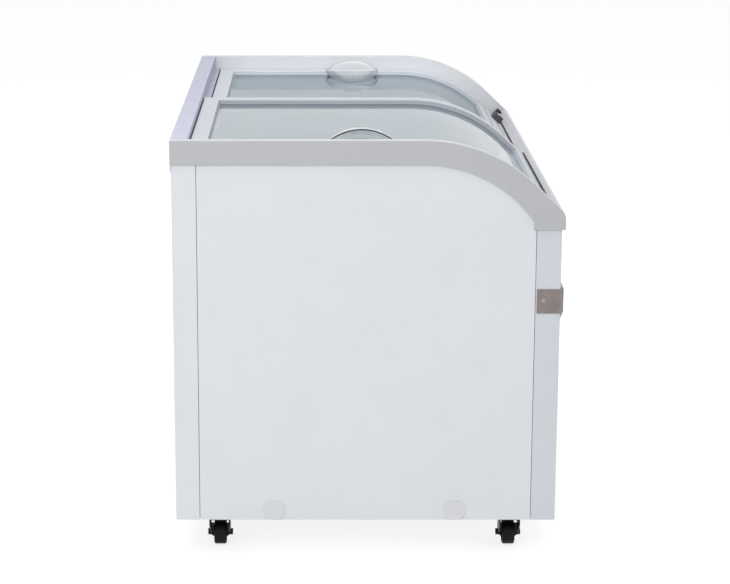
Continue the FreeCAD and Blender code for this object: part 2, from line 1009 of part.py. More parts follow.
bulkhead_points = [
    (machine_x, tray_top + seat_gap),
    (machine_x, machine_top),
    (body_half - seam_flange - seat_gap, machine_top),
]
bulkhead_ys = (tray_front + tray_wall + seat_gap, tray_rear - tray_wall - seat_gap)
save("machine_bulkhead", front_prism(ribbon(bulkhead_points, bulkhead_wall), bulkhead_ys))


# Evaporator tube, one run wound round the liner


def evaporator():
    offset = liner_wall + coil_radius + seat_gap
    x = inner_half + offset
    y_front = inner_front - offset
    y_rear = inner_rear + offset
    z = height - coil_top_drop
    start_x = hump_x
    points = [vec(start_x, y_rear, z)]
    for i in range(coil_loops):
        points += [vec(-x, y_rear, z), vec(-x, y_front, z), vec(x, y_front, z), vec(x, y_rear, z)]
        if i < coil_loops - 1:
            z -= coil_pitch
            ramp_x = (x + hump_x) / 2
            points += [vec(ramp_x, y_rear, z + coil_pitch), vec(hump_x, y_rear, z)]
    points.append(vec(hump_x, y_rear, z))
    return tube(points, coil_radius, liner_corner + offset)


save("evaporator_coil", evaporator())


# Sliding lids. Each lid is drawn as the right one; the left lid is its mirror image.


def bar_with_groove(xs, groove_xs, drop, rear_y, run):
    """Curved end bar with rounded top edges and a groove for the glass."""
    bar = curved_bar(xs, drop, drop + lid_height, rear_y, run)
    top_z = height - drop

    def on_top(edge):
        box = edge.BoundBox
        flat = box.XLength < shaft_gap
        level = abs(box.ZMax - top_z) < shaft_gap and box.ZLength < shaft_gap
        return flat and level

    rounded = round_edges(bar, lid_edge_round, on_top)
    groove = curved_bar(
        groove_xs,
        drop + glass_drop - glass_gap,
        drop + glass_drop + glass + glass_gap,
        rear_y + overrun,
        run + overrun,
    )
    return rounded.cut(groove)


def lid_pieces(drop, rear_y, run):
    """Solids of one lid: glass, four frame bars, handle and gliders."""
    outer_in = lid_outer_x - lid_edge_width
    inner_in = lid_inner_x + lid_edge_width
    between = (inner_in + lid_joint_gap, outer_in - lid_joint_gap)
    top = drop + glass_drop
    groove_drops = (top - glass_gap, top + glass + glass_gap)
    low_drop = drop + lid_height

    outer_bar = bar_with_groove(
        (outer_in, lid_outer_x), (outer_in - overrun, outer_in + glass_groove), drop, rear_y, run
    )
    inner_bar = bar_with_groove(
        (lid_inner_x, inner_in), (inner_in - glass_groove, inner_in + overrun), drop, rear_y, run
    )

    rear_bar = block(between, (rear_y - lid_edge_width, rear_y), (height - drop, height - low_drop))
    rear_top = height - drop

    def rear_top_edge(edge):
        box = edge.BoundBox
        return box.XLength > lid_travel / 2 and box.ZMin > rear_top - shaft_gap

    rear_bar = round_edges(rear_bar, lid_edge_round, rear_top_edge)
    rear_groove_y = rear_y - lid_edge_width + glass_groove
    rear_groove_zs = (height - groove_drops[0], height - groove_drops[1])
    rear_groove = block((-width, width), (rear_groove_y, crown_y), rear_groove_zs)
    rear_bar = rear_bar.cut(rear_groove)

    front_bar = slope_box(between, (run - lid_front_width, run), (drop, low_drop))
    front_tops = (slope_point(run - lid_front_width, drop), slope_point(run, drop))

    def front_top_edge(edge):
        box = edge.BoundBox
        place = (box.Center.y, box.Center.z)
        near = min(math.dist(place, front_tops[0]), math.dist(place, front_tops[1]))
        return box.XLength > lid_travel / 2 and near < shaft_gap

    front_bar = round_edges(front_bar, lid_edge_round, front_top_edge)
    front_groove_run = run - lid_front_width + glass_groove
    front_groove_runs = (front_groove_run - 2 * glass_groove, front_groove_run)
    front_groove = slope_box((-width, width), front_groove_runs, groove_drops)
    front_bar = front_bar.cut(front_groove)

    pane = curved_bar(
        (inner_in - glass_groove + glass_gap, outer_in + glass_groove - glass_gap),
        top,
        top + glass,
        rear_groove_y - glass_gap,
        front_groove_run - glass_gap,
    )
    return {
        "glass": pane,
        "outer_frame": outer_bar,
        "inner_frame": inner_bar,
        "rear_frame": rear_bar,
        "front_frame": front_bar,
        "handle": cup_handle(height - top),
        "gliders": lid_gliders(drop, rear_y, run),
    }


def lid_gliders(drop, rear_y, run):
    """Four plastic runners under the front and rear bars."""
    low_drop = drop + lid_height
    pads = []
    first = lid_inner_x + lid_edge_width + glider_edge
    last = lid_outer_x - lid_edge_width - glider_edge
    for xs in ((first, first + glider_length), (last - glider_length, last)):
        rear_ys = (rear_y - glider_edge - glider_width, rear_y - glider_edge)
        pads.append(block(xs, rear_ys, (height - low_drop, height - low_drop - glider)))
        runs = (run - glider_edge - glider_width, run - glider_edge)
        pads.append(slope_box(xs, runs, (low_drop, low_drop + glider)))
    return Part.makeCompound(pads)


def cup_solid(wall):
    """Solid of the cup pull about its mouth's middle, shrunk by a wall: roof, oval plan, cheeks."""
    end_drop = handle_rise - handle_end_rise
    arch = (handle_half_width**2 + end_drop**2) / (2 * end_drop)
    lip = arch - wall
    low = arch - handle_rise + handle_low_rise - wall
    deep = arch - handle_rise - handle_wall
    middle_x = -handle_reach * handle_bulge_shares[0]
    middle_r = lip - (lip - low) * handle_bulge_shares[1]
    steps = [(0, lip), ((middle_x, middle_r), (-handle_reach, low)), (-handle_reach, deep), (0, deep)]
    centre = vec(0, 0, handle_rise - arch)

    def place(point):
        return vec(point[0], 0, centre.z + point[1])

    quarter = math.degrees(math.pi / 2)
    face = face_of(steps, place)
    face.rotate(centre, ALONG_X, -quarter)
    roof = face.revolve(centre, ALONG_X, 2 * quarter)
    oval_x = handle_oval_setback + handle_reach
    oval_y = handle_half_width / math.sqrt(1 - (handle_oval_setback / oval_x) ** 2)
    oval = Part.Ellipse(vec(handle_oval_setback, 0, 0), oval_x - wall, oval_y - wall)
    plan = Part.Face(Part.Wire(oval.toShape())).extrude(ALONG_Z * (2 * handle_rise))
    half = handle_half_width - wall
    low_half = half - handle_cheek_in
    high_z = 2 * handle_rise
    cheek_steps = [
        (-low_half, 0),
        (-half, handle_end_rise),
        (-half, high_z),
        (half, high_z),
        (half, handle_end_rise),
        (low_half, 0),
    ]
    cheeks = side_prism(cheek_steps, (-oval_x, overrun))
    return roof.common(plan).common(cheeks)


def cup_handle(base_z):
    """Cup pull on the glass, open towards the end of the lid."""
    shell = cup_solid(0).cut(cup_solid(handle_wall))
    wide = 2 * handle_half_width
    over_glass = block((-2 * handle_reach, 0), (-wide, wide), (0, 2 * handle_rise))
    pull = shell.common(over_glass)
    pull.translate(vec(handle_open_x, handle_y, base_z))
    return pull


def save_lid(side, pieces):
    """Write the nodes of one lid; the left one is mirrored."""
    for piece, shape in pieces.items():
        placed = mirror_x(shape) if side == "left" else shape
        save(f"{side}_lid_{piece}", placed)


save_lid("left", lid_pieces(upper_lid_drop, upper_lid_rear_y, upper_lid_run))
save_lid("right", lid_pieces(lower_lid_drop, lower_lid_rear_y, lower_lid_run))


# End stop and lock in the open right end of the upper front track

track_drop = upper_floor_drop
stop_runs = (upper_front_run - seat_gap - stop_run, upper_front_run - seat_gap)
stop_xs = (ledge_x - seat_gap - stop_length, ledge_x - 2 * seat_gap)
stop = slope_box(stop_xs, stop_runs, (track_drop - stop_height, track_drop))
save("track_stop", stop)

lock_run = upper_front_run - seat_gap - lock_width / 2
lock_axis = vec(0, -math.sin(slope), math.cos(slope))
lock_base = vec(lock_x, *slope_point(lock_run, track_drop))


def lock_body():
    """Block on the track floor, with a round bore square to the slope."""
    xs = (lock_x - lock_length / 2, lock_x + lock_length / 2)
    runs = (lock_run - lock_width / 2, lock_run + lock_width / 2)
    body = slope_box(xs, runs, (track_drop - lock_height, track_drop))
    floor = lock_base + lock_axis * (lock_height - lock_bore_depth)
    bore = rod(lock_bore_radius, floor, floor + lock_axis * lock_height)
    return body.cut(bore)


def lock_cylinder():
    """Key barrel with a slot in its face."""
    start = lock_base + lock_axis * (lock_height - lock_bore_depth + seat_gap)
    end = lock_base + lock_axis * (lock_height + lock_cylinder_rise)
    barrel = rod(lock_bore_radius - shaft_gap, start, end)
    half = key_slot_length / 2
    top_drop = track_drop - lock_height - lock_cylinder_rise
    slot = slope_box(
        (lock_x - half, lock_x + half),
        (lock_run - key_slot_width / 2, lock_run + key_slot_width / 2),
        (top_drop - overrun, top_drop + key_slot_depth),
    )
    return barrel.cut(slot)


save("lock_body", lock_body())
save("lock_cylinder", lock_cylinder())


# Bumper rail and its corner brackets

rail_back = body_front - seat_gap
rail_face = rail_back - rail_proud


def rail_solid(wall):
    """Moulding with slanted long edges, shrunk by a wall on all sides but the back."""
    half = rail_height / 2 - wall
    end_x = body_half - bracket_bevel - wall
    steps = [
        (rail_back, rail_z - half),
        (rail_face + wall, rail_z - half + rail_slant),
        (rail_face + wall, rail_z + half - rail_slant),
        (rail_back, rail_z + half),
    ]
    return side_prism(steps, (-end_x, end_x))


save("bumper_rail", rail_solid(0).cut(rail_solid(rail_wall)))


def corner_bracket():
    """Folded plate from the side panel round the bevelled corner to the rail."""
    side_x = body_half + bracket_side_proud
    points = [
        (side_x, front + bracket_side_length),
        (side_x, front + bracket_bevel),
        (side_x - bracket_bevel, front),
        (side_x - bracket_front_length, front),
    ]
    zs = (rail_z - bracket_height / 2, rail_z + bracket_height / 2)
    plate = plan_prism(ribbon(points[::-1], bracket_wall), zs)
    return plate.cut(screw_hole(bracket_hole_radius, bracket_side_proud))


def bracket_screw():
    """Pan-head screw through the bracket and the skin behind it."""
    seat_x = body_half + bracket_side_proud
    head_x = seat_x + screw_head_height
    head_middle = (screw_head_radius * math.sqrt(1 / 2), head_x - screw_head_height / 3)
    steps = [
        (0, head_x),
        (screw_radius, head_x),
        (head_middle, (screw_head_radius, seat_x)),
        (screw_radius, seat_x),
        (screw_radius, head_x - screw_length),
        (0, head_x - screw_length),
    ]

    def place(point):
        return vec(point[1], screw_y + point[0], rail_z)

    return face_of(steps, place).revolve(vec(0, screw_y, rail_z), ALONG_X)


save("bumper_brackets", [corner_bracket(), mirror_x(corner_bracket())])
save("bracket_screws", [bracket_screw(), mirror_x(bracket_screw())])


# Air grilles and the control panel


def grille(centre_x, size_x, size_z, face_y, inward, slats):
    """Moulded frame that clips into a skin, with tilted slats across it."""
    half_x = size_x / 2
    half_z = size_z / 2
    flange_ys = (face_y - inward * grille_flange_wall, face_y - inward * seat_gap)
    flange_zs = (grille_centre_z - half_z, grille_centre_z + half_z)
    flange = block((centre_x - half_x, centre_x + half_x), flange_ys, flange_zs)
    spigot_x = half_x - grille_flange - seat_gap
    spigot_z = half_z - grille_flange - seat_gap
    spigot = block(
        (centre_x - spigot_x, centre_x + spigot_x),
        (flange_ys[0], face_y + inward * grille_depth),
        (grille_centre_z - spigot_z, grille_centre_z + spigot_z),
    )
    open_x = half_x - grille_flange - grille_frame / 2
    open_z = half_z - grille_flange - grille_frame / 2
    window_ys = (face_y - inward * 2 * grille_depth, face_y + inward * 2 * grille_depth)
    window_zs = (grille_centre_z - open_z, grille_centre_z + open_z)
    window = block((centre_x - open_x, centre_x + open_x), window_ys, window_zs)
    frame = flange.fuse(spigot).cut(window)
    pitch = 2 * open_z / slats
    slat_depth = grille_depth - slat_wall
    low_y = face_y + inward * (slat_wall / 2 - grille_flange_wall)
    high_y = low_y + inward * slat_depth
    rise = slat_depth * math.tan(slat_tilt)
    pieces = [frame]
    for i in range(slats):
        z = window_zs[0] + (i + 1 / 2) * pitch - rise / 2
        steps = [(low_y, z), (high_y, z + rise), (high_y, z + rise + slat_wall), (low_y, z + slat_wall)]
        reach = open_x + slat_wall
        pieces.append(side_prism(steps, (centre_x - reach, centre_x + reach)))
    return join(pieces)


save(
    "front_grille",
    grille(front_grille_x, front_grille_width, front_grille_height, body_front, 1, front_slat_count),
)
save(
    "rear_grille",
    grille(rear_grille_x, rear_grille_width, rear_grille_height, body_rear, -1, rear_slat_count),
)

panel_floor_y = body_front + panel_recess
knob_z = grille_centre_z + knob_z_rise


def lamp_places():
    """x of each lamp in the row under the knob, and their height."""
    middle = (lamp_count - 1) / 2
    return [(panel_x + (i - middle) * lamp_pitch, grille_centre_z - lamp_drop) for i in range(lamp_count)]


def control_panel():
    """Recessed tray behind a flange, with holes for the knob shaft and the lamps."""
    half_x = panel_width / 2
    half_z = panel_height / 2
    flange = block(
        (panel_x - half_x, panel_x + half_x),
        (body_front - grille_flange_wall, body_front - seat_gap),
        (grille_centre_z - half_z, grille_centre_z + half_z),
    )

    def across(edge):
        box = edge.BoundBox
        return max(box.XLength, box.ZLength) < shaft_gap

    flange = round_edges(flange, panel_flange, across)
    cup_x = half_x - panel_flange - seat_gap
    cup_z = half_z - panel_flange - seat_gap
    cup = block(
        (panel_x - cup_x, panel_x + cup_x),
        (body_front - seat_gap, panel_floor_y),
        (grille_centre_z - cup_z, grille_centre_z + cup_z),
    )
    hollow = block(
        (panel_x - cup_x + panel_wall, panel_x + cup_x - panel_wall),
        (body_front - overrun, panel_floor_y - panel_wall),
        (grille_centre_z - cup_z + panel_wall, grille_centre_z + cup_z - panel_wall),
    )
    cuts = [hollow]
    ys = (panel_floor_y - overrun, panel_floor_y + overrun)
    radius = knob_shaft_radius + shaft_gap
    cuts.append(rod(radius, vec(panel_x, ys[0], knob_z), vec(panel_x, ys[1], knob_z)))
    for x, z in lamp_places():
        cuts.append(rod(lamp_radius - seat_gap, vec(x, ys[0], z), vec(x, ys[1], z)))
    return flange.fuse(cup).cut(cuts)


save("control_panel", control_panel())


def thermostat_knob():
    """Skirted knob with a raised pointer and a short shaft through the panel."""
    back_y = panel_floor_y - panel_wall - slide_gap
    face_y = back_y - knob_length
    steps = [
        (0, face_y),
        (knob_grip_radius - seat_gap, face_y),
        (knob_grip_radius, back_y - knob_skirt),
        (knob_radius, back_y - knob_skirt / 2),
        (knob_radius, back_y),
        (knob_shaft_radius, back_y),
        (knob_shaft_radius, back_y + knob_shaft_length),
        (0, back_y + knob_shaft_length),
    ]

    def place(point):
        return vec(panel_x + point[0], point[1], knob_z)

    body = face_of(steps, place).revolve(vec(panel_x, 0, knob_z), ALONG_Y)
    half = knob_pointer_width / 2
    pointer = block(
        (panel_x - half, panel_x + half),
        (face_y - knob_pointer_width / 2, face_y + knob_skirt),
        (knob_z, knob_z + knob_grip_radius - knob_pointer_width),
    )
    return join([body, pointer])


save("thermostat_knob", thermostat_knob())


def lamp(x, z):
    """Domed lens on a stem that passes through the panel."""
    base_y = panel_floor_y - panel_wall
    stem = lamp_radius - 2 * seat_gap
    dome = (lamp_radius * math.sqrt(1 / 2), base_y - lamp_height * math.sqrt(1 / 2))
    steps = [
        (0, base_y - lamp_height),
        (dome, (lamp_radius, base_y)),
        (stem, base_y),
        (stem, base_y + lamp_stem),
        (0, base_y + lamp_stem),
    ]

    def place(point):
        return vec(x + point[0], point[1], z)

    return face_of(steps, place).revolve(vec(x, 0, z), ALONG_Y)


save("indicator_lamps", [lamp(x, z) for x, z in lamp_places()])


# Cord gland


def cord_gland():
    """Flanged bush with a nut inside the rear panel."""
    z = body_bottom + gland_rise
    inside = body_rear - skin
    flange_y = body_rear + gland_flange_wall
    steps = [
        (gland_bore, flange_y),
        (gland_flange - gland_flange_wall / 2, flange_y),
        (gland_flange, flange_y - gland_flange_wall / 2),
        (gland_flange, body_rear),
        (gland_body, body_rear),
        (gland_body, inside),
        (gland_flange, inside),
        (gland_flange, inside - gland_nut_wall),
        (gland_body, inside - gland_nut_wall),
        (gland_body, inside - gland_nut_wall - gland_tail),
        (gland_bore, inside - gland_nut_wall - gland_tail),
    ]

    def place(point):
        return vec(gland_x + point[0], point[1], z)

    return face_of(steps, place).revolve(vec(gland_x, 0, z), ALONG_Y)


save("cord_gland", cord_gland())


# Compressor on its pressed plate and rubber feet

plate_low = tray_top + foot_height
plate_top = plate_low + compressor_plate
shell_top = plate_top + compressor_height
compressor_at = vec(compressor_x, compressor_y, 0)


def foot_places():
    half_x = compressor_plate_length / 2 - foot_x_inset
    half_y = compressor_plate_width / 2 - foot_y_inset
    corners = [(-half_x, -half_y), (half_x, -half_y), (half_x, half_y), (-half_x, half_y)]
    return [compressor_at + vec(x, y, 0) for x, y in corners]


def compressor():
    """Welded steel shell with a seam band, pipe stubs and its mounting plate."""
    radius = compressor_radius
    middle = plate_top + compressor_height / 2
    band = compressor_seam_height / 2
    dome = compressor_dome
    diagonal = math.sqrt(1 / 2)
    low_mid = (radius - dome + dome * diagonal, plate_top + dome - dome * diagonal)
    top_mid = (radius - dome + dome * diagonal, shell_top - dome + dome * diagonal)
    steps = [
        (0, plate_top),
        (radius - dome, plate_top),
        (low_mid, (radius, plate_top + dome)),
        (radius, middle - band),
        (radius + compressor_seam, middle - band),
        (radius + compressor_seam, middle + band),
        (radius, middle + band),
        (radius, shell_top - dome),
        (top_mid, (radius - dome, shell_top)),
        (0, shell_top),
    ]
    shell = face_of(steps, front_point).revolve(ORIGIN, ALONG_Z)
    half_x = compressor_plate_length / 2
    half_y = compressor_plate_width / 2
    plate = block((-half_x, half_x), (-half_y, half_y), (plate_low, plate_top))
    plate = round_edges(plate, compressor_plate_corner, upright)
    reach = radius + stub_length
    stubs = []
    for z in (middle + 2 * compressor_seam_height, middle - 2 * compressor_seam_height):
        stubs.append(rod(stub_radius, vec(0, 0, z), vec(0, reach, z)))
    solid = join([shell, plate] + stubs)
    solid.translate(compressor_at)
    holes = []
    for place in foot_places():
        low = place + ALONG_Z * (plate_low - overrun)
        high = low + ALONG_Z * (2 * overrun + compressor_plate)
        holes.append(rod(foot_neck_radius - foot_bore_radius / 2 + seat_gap, low, high))
    return solid.cut(holes)


def compressor_foot(place):
    """Rubber grommet with a neck through the plate."""
    neck = foot_neck_radius - foot_bore_radius / 2
    low = tray_top
    steps = [
        (foot_bore_radius, low),
        (foot_radius, low),
        (foot_neck_radius, low + foot_height / 2),
        (foot_radius, plate_low),
        (neck, plate_low),
        (neck, plate_top + compressor_plate),
        (foot_bore_radius, plate_top + compressor_plate),
    ]
    solid = face_of(steps, front_point).revolve(ORIGIN, ALONG_Z)
    solid.translate(place)
    return solid


save("compressor", compressor())
save("compressor_feet", [compressor_foot(place) for place in foot_places()])


def terminal_box():
    """Cover over the compressor's terminals, hollowed to its shell."""
    x = compressor_x - compressor_radius
    z = plate_top + compressor_dome
    cover = block(
        (x - terminal_depth + terminal_round, x + compressor_radius / 2),
        (compressor_y - terminal_width / 2, compressor_y + terminal_width / 2),
        (z - terminal_round, z - terminal_round + terminal_height),
    )

    def outer(edge):
        return edge.BoundBox.XMax < x - terminal_round and edge.BoundBox.XLength < shaft_gap

    cover = round_edges(cover, terminal_round, outer)
    radius = compressor_radius + compressor_seam + seat_gap
    base = vec(compressor_x, compressor_y, 0)
    return cover.cut(rod(radius, base, base + ALONG_Z * height))


save("terminal_box", terminal_box())


# Condenser: one serpentine tube with wires on both faces

condenser_x = front_grille_x
condenser_low = tray_top + condenser_bottom_rise
condenser_high = condenser_low + (condenser_passes - 1) * condenser_pitch


def condenser():
    half = condenser_width / 2
    bend = condenser_pitch / 2
    points = []
    for i in range(condenser_passes):
        z = condenser_low + i * condenser_pitch
        run = (half, -half) if i % 2 == 0 else (-half, half)
        points += [vec(condenser_x + run[0], condenser_y, z), vec(condenser_x + run[1], condenser_y, z)]
    pieces = [tube(points, condenser_tube, bend)]
    offset = condenser_tube + wire_radius + wire_gap
    wire_span = condenser_width - 4 * bend
    reach = condenser_tube + wire_radius
    for i in range(wire_count):
        x = condenser_x - wire_span / 2 + i * wire_span / (wire_count - 1)
        for y in (condenser_y - offset, condenser_y + offset):
            low = vec(x, y, condenser_low - reach)
            pieces.append(rod(wire_radius, low, vec(x, y, condenser_high + reach)))
    return pieces


save("condenser", condenser())


# Fan: shroud, motor on three arms and a five-blade rotor

fan_z = (condenser_low + condenser_high) / 2
shroud_y = condenser_y + shroud_gap


def fan_shroud():
    """Folded plate with a round mouth and feet on the tray."""
    half_x = condenser_width / 2
    low = tray_top
    top = condenser_high + shroud_edge
    xs = (condenser_x - half_x, condenser_x + half_x)
    plate = block(xs, (shroud_y, shroud_y + shroud_wall), (low, top))
    mouth_start = vec(condenser_x, shroud_y - overrun, fan_z)
    mouth = rod(fan_radius, mouth_start, mouth_start + ALONG_Y * (fan_ring + overrun + shroud_wall))
    collar_start = vec(condenser_x, shroud_y, fan_z)
    collar = rod(fan_radius + shroud_wall, collar_start, collar_start + ALONG_Y * fan_ring)
    shelf = block(xs, (shroud_y, shroud_y - shroud_edge), (low, low + shroud_wall))
    pieces = [plate, collar, shelf]
    arm_y = shroud_y + fan_ring + fan_hub_length - fan_ring / 2 + motor_gap
    for i in range(motor_arm_count):
        angle = math.pi / 2 + i * 2 * math.pi / motor_arm_count
        reach = fan_radius + motor_arm_width / 2
        tip = vec(condenser_x + reach * math.cos(angle), arm_y, fan_z + reach * math.sin(angle))
        root_reach = motor_radius - motor_arm_width / 2
        half = motor_arm_width / 2
        arm = block((root_reach, reach + half), (arm_y, arm_y + motor_arm_wall), (-half, half))
        post = block((reach - half / 2, reach + half), (shroud_y, arm_y + motor_arm_wall), (-half, half))
        spoke = arm.fuse(post)
        spoke.rotate(ORIGIN, ALONG_Y, -math.degrees(angle))
        spoke.translate(vec(condenser_x, 0, fan_z))
        pieces.append(spoke)
    return pieces[0].fuse(pieces[1:]).cut(mouth).removeSplitter()


motor_face = shroud_y + fan_ring + fan_hub_length - fan_ring / 2 + motor_gap + motor_arm_wall


def fan_motor():
    """Can with a rounded back and a shaft towards the rotor."""
    back = motor_face + motor_length
    round_off = motor_radius / 3
    diagonal = math.sqrt(1 / 2)
    middle = (motor_radius - round_off + round_off * diagonal, back - round_off + round_off * diagonal)
    shaft_end = motor_face - motor_gap - fan_hub_length
    steps = [
        (0, shaft_end),
        (motor_shaft_radius, shaft_end),
        (motor_shaft_radius, motor_face),
        (motor_radius, motor_face),
        (motor_radius, back - round_off),
        (middle, (motor_radius - round_off, back)),
        (0, back),
    ]

    def place(point):
        return vec(condenser_x + point[0], point[1], fan_z)

    return face_of(steps, place).revolve(vec(condenser_x, 0, fan_z), ALONG_Y)


def fan_blade():
    """Hub with a bore for the shaft and twisted blades lofted from root to tip."""
    back = motor_face - motor_arm_wall - motor_gap / 2
    start = vec(0, back - fan_hub_length, 0)
    end = vec(0, back, 0)
    hub = rod(fan_hub_radius, start, end)
    middle_y = back - fan_hub_length / 2

    def section(radius, chord, pitch):
        along = vec(0, math.sin(pitch), math.cos(pitch)) * (chord / 2)
        across = vec(0, math.cos(pitch), -math.sin(pitch)) * (fan_blade_wall / 2)
        centre = vec(radius, middle_y, 0)
        corners = [
            centre - along - across,
            centre + along - across,
            centre + along + across,
            centre - along + across,
        ]
        return Part.makePolygon(corners + corners[:1])

    root = section(fan_hub_radius - fan_blade_wall, fan_root_chord, fan_root_pitch)
    tip = section(fan_radius - fan_tip_gap, fan_tip_chord, fan_tip_pitch)
    blade = Part.makeLoft([root, tip], True, False)
    blades = []
    for i in range(fan_blade_count):
        turned = blade.copy()
        turned.rotate(ORIGIN, ALONG_Y, i * 360 / fan_blade_count)
        blades.append(turned)
    limit = rod(fan_radius - fan_tip_gap, start - ALONG_Y * fan_ring, end + ALONG_Y * fan_ring)
    rotor = join([hub] + blades).common(limit)
    bore = rod(motor_shaft_radius + shaft_gap, start - ALONG_Y * overrun, end + ALONG_Y * overrun)
    rotor = rotor.cut(bore)
    rotor.translate(vec(condenser_x, 0, fan_z))
    return rotor


save("fan_shroud", fan_shroud())
save("fan_motor", fan_motor())
save("fan_blade", fan_blade())


# Filter drier and pipes

drier_at = vec(machine_x + 2 * drier_radius, compressor_y, machine_top - 3 * drier_radius)


def filter_drier():
    """Copper capsule with a neck at each end, lying along Y."""
    half = drier_length / 2
    neck = half + drier_neck_length
    cone = drier_radius
    steps = [
        (0, -neck),
        (drier_neck_radius, -neck),
        (drier_neck_radius, -half),
        (drier_radius, -half + cone),
        (drier_radius, half - cone),
        (drier_neck_radius, half),
        (drier_neck_radius, neck),
        (0, neck),
    ]
    solid = face_of(steps, plan_point).revolve(ORIGIN, ALONG_Y)
    solid.translate(drier_at)
    return solid


def refrigerant_pipes():
    """Discharge to the condenser, liquid line to the drier, capillary and suction line up to the liner."""
    middle = plate_top + compressor_height / 2
    stub_y = compressor_y + compressor_radius + stub_length + seat_gap
    half = condenser_width / 2
    side_x = tray_half - tray_wall - 3 * pipe_radius
    low_z = middle - 2 * compressor_seam_height
    high_z = middle + 2 * compressor_seam_height
    turn_y = stub_y + 2 * pipe_bend
    coil_in = condenser_x + half + seat_gap
    discharge = [
        vec(compressor_x, stub_y, low_z),
        vec(compressor_x, turn_y, low_z),
        vec(side_x, turn_y, low_z),
        vec(side_x, condenser_y, low_z),
        vec(side_x, condenser_y, condenser_low),
        vec(coil_in, condenser_y, condenser_low),
    ]
    drier_front = drier_at.y - drier_length / 2 - drier_neck_length - seat_gap
    liquid = [
        vec(condenser_x - half - seat_gap, condenser_y, condenser_high),
        vec(drier_at.x, condenser_y, condenser_high),
        vec(drier_at.x, condenser_y, drier_at.z),
        vec(drier_at.x, drier_front, drier_at.z),
    ]
    suction = [
        vec(compressor_x, stub_y, high_z),
        vec(compressor_x, turn_y, high_z),
        vec(machine_x + 2 * pipe_bend, turn_y, high_z),
        vec(machine_x + 2 * pipe_bend, turn_y, machine_top - seat_gap),
    ]
    drier_back = drier_at.y + drier_length / 2 + drier_neck_length + seat_gap
    capillary_turn = drier_back + 2 * pipe_bend
    capillary = [
        vec(drier_at.x, drier_back, drier_at.z),
        vec(drier_at.x, capillary_turn, drier_at.z),
        vec(drier_at.x, capillary_turn, machine_top - seat_gap),
    ]
    pipes = [tube(points, pipe_radius, pipe_bend) for points in (discharge, liquid, suction)]
    return pipes + [tube(capillary, capillary_radius, pipe_bend)]


save("filter_drier", filter_drier())
save("refrigerant_pipes", refrigerant_pipes())


# Casters. Each is drawn about its own swivel axis, with the wheel trailing towards +X.

plate_bottom = caster_height - plate_wall
race_bottom = plate_bottom - race_height
fork_crown_top = race_bottom - race_gap
fork_top = fork_crown_top - fork_crown_height
fork_under = fork_top - fork_wall
pin_head_top = fork_under - race_gap


def caster_places():
    """Name, x, y of each caster."""
    return [
        ("front_left", -caster_x, caster_front_y),
        ("front_right", caster_x, caster_front_y),
        ("rear_left", -caster_x, caster_rear_y),
        ("rear_right", caster_x, caster_rear_y),
    ]


def caster_plate():
    """Top plate with four bolt heads, the fixed race and the king pin."""
    half = plate_size / 2
    plate = block((-half, half), (-half, half), (plate_bottom, caster_height))
    plate = round_edges(plate, plate_corner, upright)
    race_top = vec(0, 0, plate_bottom)
    race_low_radius = race_radius - race_height / 2
    race = Part.makeCone(race_radius, race_low_radius, race_height, race_top, -ALONG_Z)
    pin = rod(kingpin_radius, vec(0, 0, pin_head_top), vec(0, 0, plate_bottom))
    head = rod(kingpin_head_radius, vec(0, 0, pin_head_top - kingpin_head), vec(0, 0, pin_head_top))
    pieces = [plate, race, pin, head]
    offset = half - plate_bolt_inset
    for x, y in ((-offset, -offset), (offset, -offset), (offset, offset), (-offset, offset)):
        low = vec(x, y, plate_bottom - plate_bolt_height)
        pieces.append(rod(plate_bolt_radius, low, vec(x, y, plate_bottom)))
    return join(pieces)


def caster_fork():
    """Pressed fork: a folded strip seen from the front, cut to its side outline, with axle bosses."""
    high = fork_half_width
    low = fork_half_width - fork_taper_in
    taper_top = wheel_radius + fork_taper_top_rise
    taper_low = wheel_radius - fork_taper_low_drop
    end_z = wheel_radius - 2 * fork_end_radius
    points = [
        (-low, end_z),
        (-low, taper_low),
        (-high, taper_top),
        (-high, fork_top),
        (high, fork_top),
        (high, taper_top),
        (low, taper_low),
        (low, end_z),
    ]
    strip = side_prism(ribbon(points[::-1], fork_wall), (-fork_length, fork_length + caster_trail))
    half = fork_length / 2
    knee = fork_top - fork_top_gap
    end = fork_end_radius
    side_outline = [
        (-half, fork_top),
        (-half, knee),
        (caster_trail - end, wheel_radius),
        ((caster_trail, wheel_radius - end), (caster_trail + end, wheel_radius)),
        (half, knee),
        (half, fork_top),
    ]
    legs = strip.common(front_prism(side_outline, (-fork_length, fork_length)))
    crown = rod(fork_crown_radius, vec(0, 0, fork_under), vec(0, 0, fork_crown_top))
    boss_in = hub_width / 2 + slide_gap
    bosses = []
    for side in (-1, 1):
        start = vec(caster_trail, side * boss_in, wheel_radius)
        end_point = vec(caster_trail, side * fork_half_width, wheel_radius)
        bosses.append(rod(fork_boss_radius, start, end_point))
    solid = join([legs, crown] + bosses)
    pin_hole = rod(kingpin_radius + shaft_gap, vec(0, 0, 0), vec(0, 0, caster_height))
    reach = 2 * fork_half_width
    axle_hole = rod(
        axle_radius + shaft_gap,
        vec(caster_trail, -reach, wheel_radius),
        vec(caster_trail, reach, wheel_radius),
    )
    return solid.cut([pin_hole, axle_hole])


